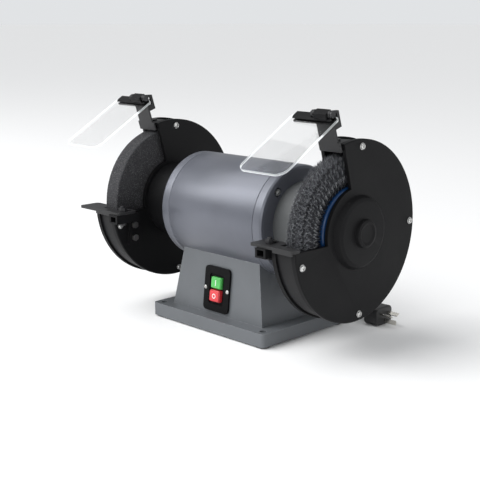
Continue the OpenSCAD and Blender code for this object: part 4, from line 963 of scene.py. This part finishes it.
def addPanScrew(bm, base, outward, radius, height):
    arm = radius * panHead["arm"]

    def mouth(angle):
        return crossRadius(angle, arm, radius * panHead["armHalf"])

    def floor(angle):
        return crossRadius(angle, arm * panHead["floorArm"], radius * panHead["floorHalf"])

    rings = [(radius * wide, height * high) for wide, high in panHead["rings"]]
    addStack(bm, base, outward, [*rings, (mouth, height), (floor, height * panHead["floor"])])


screws = {"headR": 0.0043, "headH": 0.0028, "shankR": 0.00195, "shank": 0.0060, "chamfer": 0.0005, "point": 0.8,
          "steps": 20, "plateR": 0.0026, "plateH": 0.0014}


def makeGuardScrews():
    bm = bmesh.new()
    wheelX = size("wire_bristles")[2].x
    for low, high in solidsOf("guard_screws"):
        middle = (low + high) / 2
        away = 1 if abs(middle.x) > wheelX else -1
        outward = Vector((math.copysign(1, middle.x) * away, 0, 0))
        end = high.x if outward.x > 0 else low.x
        base = Vector((end - outward.x * screws["headH"], middle.y, middle.z))
        addPanScrew(bm, base, outward, screws["headR"], screws["headH"])
        addStack(bm, base - outward * screws["shank"], outward, [
            (screws["shankR"] * screws["point"], 0), (screws["shankR"], screws["chamfer"]),
            (screws["shankR"], screws["shank"])], screws["steps"])
    newPiece("guardScrews", bm, "zinc", "machine", ("guard_screws",), smooth=35)


makeGuardScrews()
print("panes and guard screws made")


# push buttons: soft-cornered caps with the plain start and stop marks let into them
marks = {"height": 0.00025, "barW": 0.0013, "barL": 0.0080, "soft": 0.25, "ringR": 0.0033, "ringW": 0.0011,
         "ease": 0.0001, "shoulder": 0.6, "steps": 40}


# middle of a button's front face, the way it faces and the way up along it
def frontOf(node):
    push = Vector(joints[node + "_push"]["axis"])
    outward = -push.normalized()
    up = outward.cross(Vector((1, 0, 0))).normalized()
    if up.z < 0:
        up = -up
    places = [vert.co for vert in frame["nodes"][node].data.vertices]
    face = max(place.dot(outward) for place in places)
    near = 0.0001
    front = [place for place in places if place.dot(outward) > face - near]
    middle = sum(front, Vector()) / len(front)
    return middle, outward, up


def makeButton(node, finish):
    softened(node, finish, 0.0011, 4)
    middle, outward, up = frontOf(node)
    bm = bmesh.new()
    if node == "green_button":
        across = up.cross(outward)
        basis = Matrix((across, up, outward)).transposed().to_4x4()
        bmesh.ops.create_cube(bm, size=1, matrix=Matrix.Translation(middle) @ basis @ Matrix.Diagonal(
            (marks["barW"], marks["barL"], 2 * marks["height"], 1)))
        roundEdges(bm, marks["barW"] * marks["soft"], 3)
    else:
        inner, outer, height = marks["ringR"] - marks["ringW"], marks["ringR"], marks["height"]
        shoulder, soft = marks["shoulder"] * height, marks["ease"]
        ring = [(inner, -height), (inner, shoulder), (inner + soft, height), (outer - soft, height),
                (outer, shoulder), (outer, -height)]
        places = [middle + up * radius + outward * rise for radius, rise in ring]
        spinOutline(bm, places, middle, outward, marks["steps"])
    newPiece(camelName(node) + "Mark", bm, "whiteMark", bodyOf(node))


def makeSwitchScrews():
    bm = bmesh.new()
    push = Vector(joints["green_button_push"]["axis"]).normalized()
    reach = max(vert.co.dot(-push) for vert in frame["nodes"]["switch_plate_screws"].data.vertices)
    for low, high in solidsOf("switch_plate_screws"):
        middle = (low + high) / 2
        top = middle - push * (reach - middle.dot(-push))
        addPanScrew(bm, top + push * screws["plateH"], -push, screws["plateR"], screws["plateH"])
    newPiece("switchScrews", bm, "zinc", "machine", ("switch_plate_screws",), smooth=35)


makeButton("green_button", "greenPlastic")
makeButton("red_button", "redPlastic")
makeSwitchScrews()
print("switch made")

# pieces that the housings hide keep their solids and take their own finishes
dressing = {
    "base_cover": "coverSteel", "base_cover_screws": "zinc", "capacitor": "capacitorCan",
    "capacitor_clamp": "zinc", "terminal_block": "nylon", "switch_body": "caseBlack",
    "motor_studs": "oiledSteel", "stator_core": "sheetStack", "stator_windings": "copper",
    "rotor_core": "sheetStack", "spindle": "turnedSteel", "bearing_outer_rings": "turnedSteel",
    "bearing_inner_rings": "turnedSteel", "wheel_blotters": "blotterPaper", "left_wheel_flanges": "oiledSteel",
    "right_wheel_flanges": "oiledSteel", "neck_screws": "zinc",
}
for node, finish in dressing.items():
    mesh = frame["nodes"][node].data
    mesh.materials.clear()
    mesh.materials.append(finishes[finish])
print("inner pieces dressed")
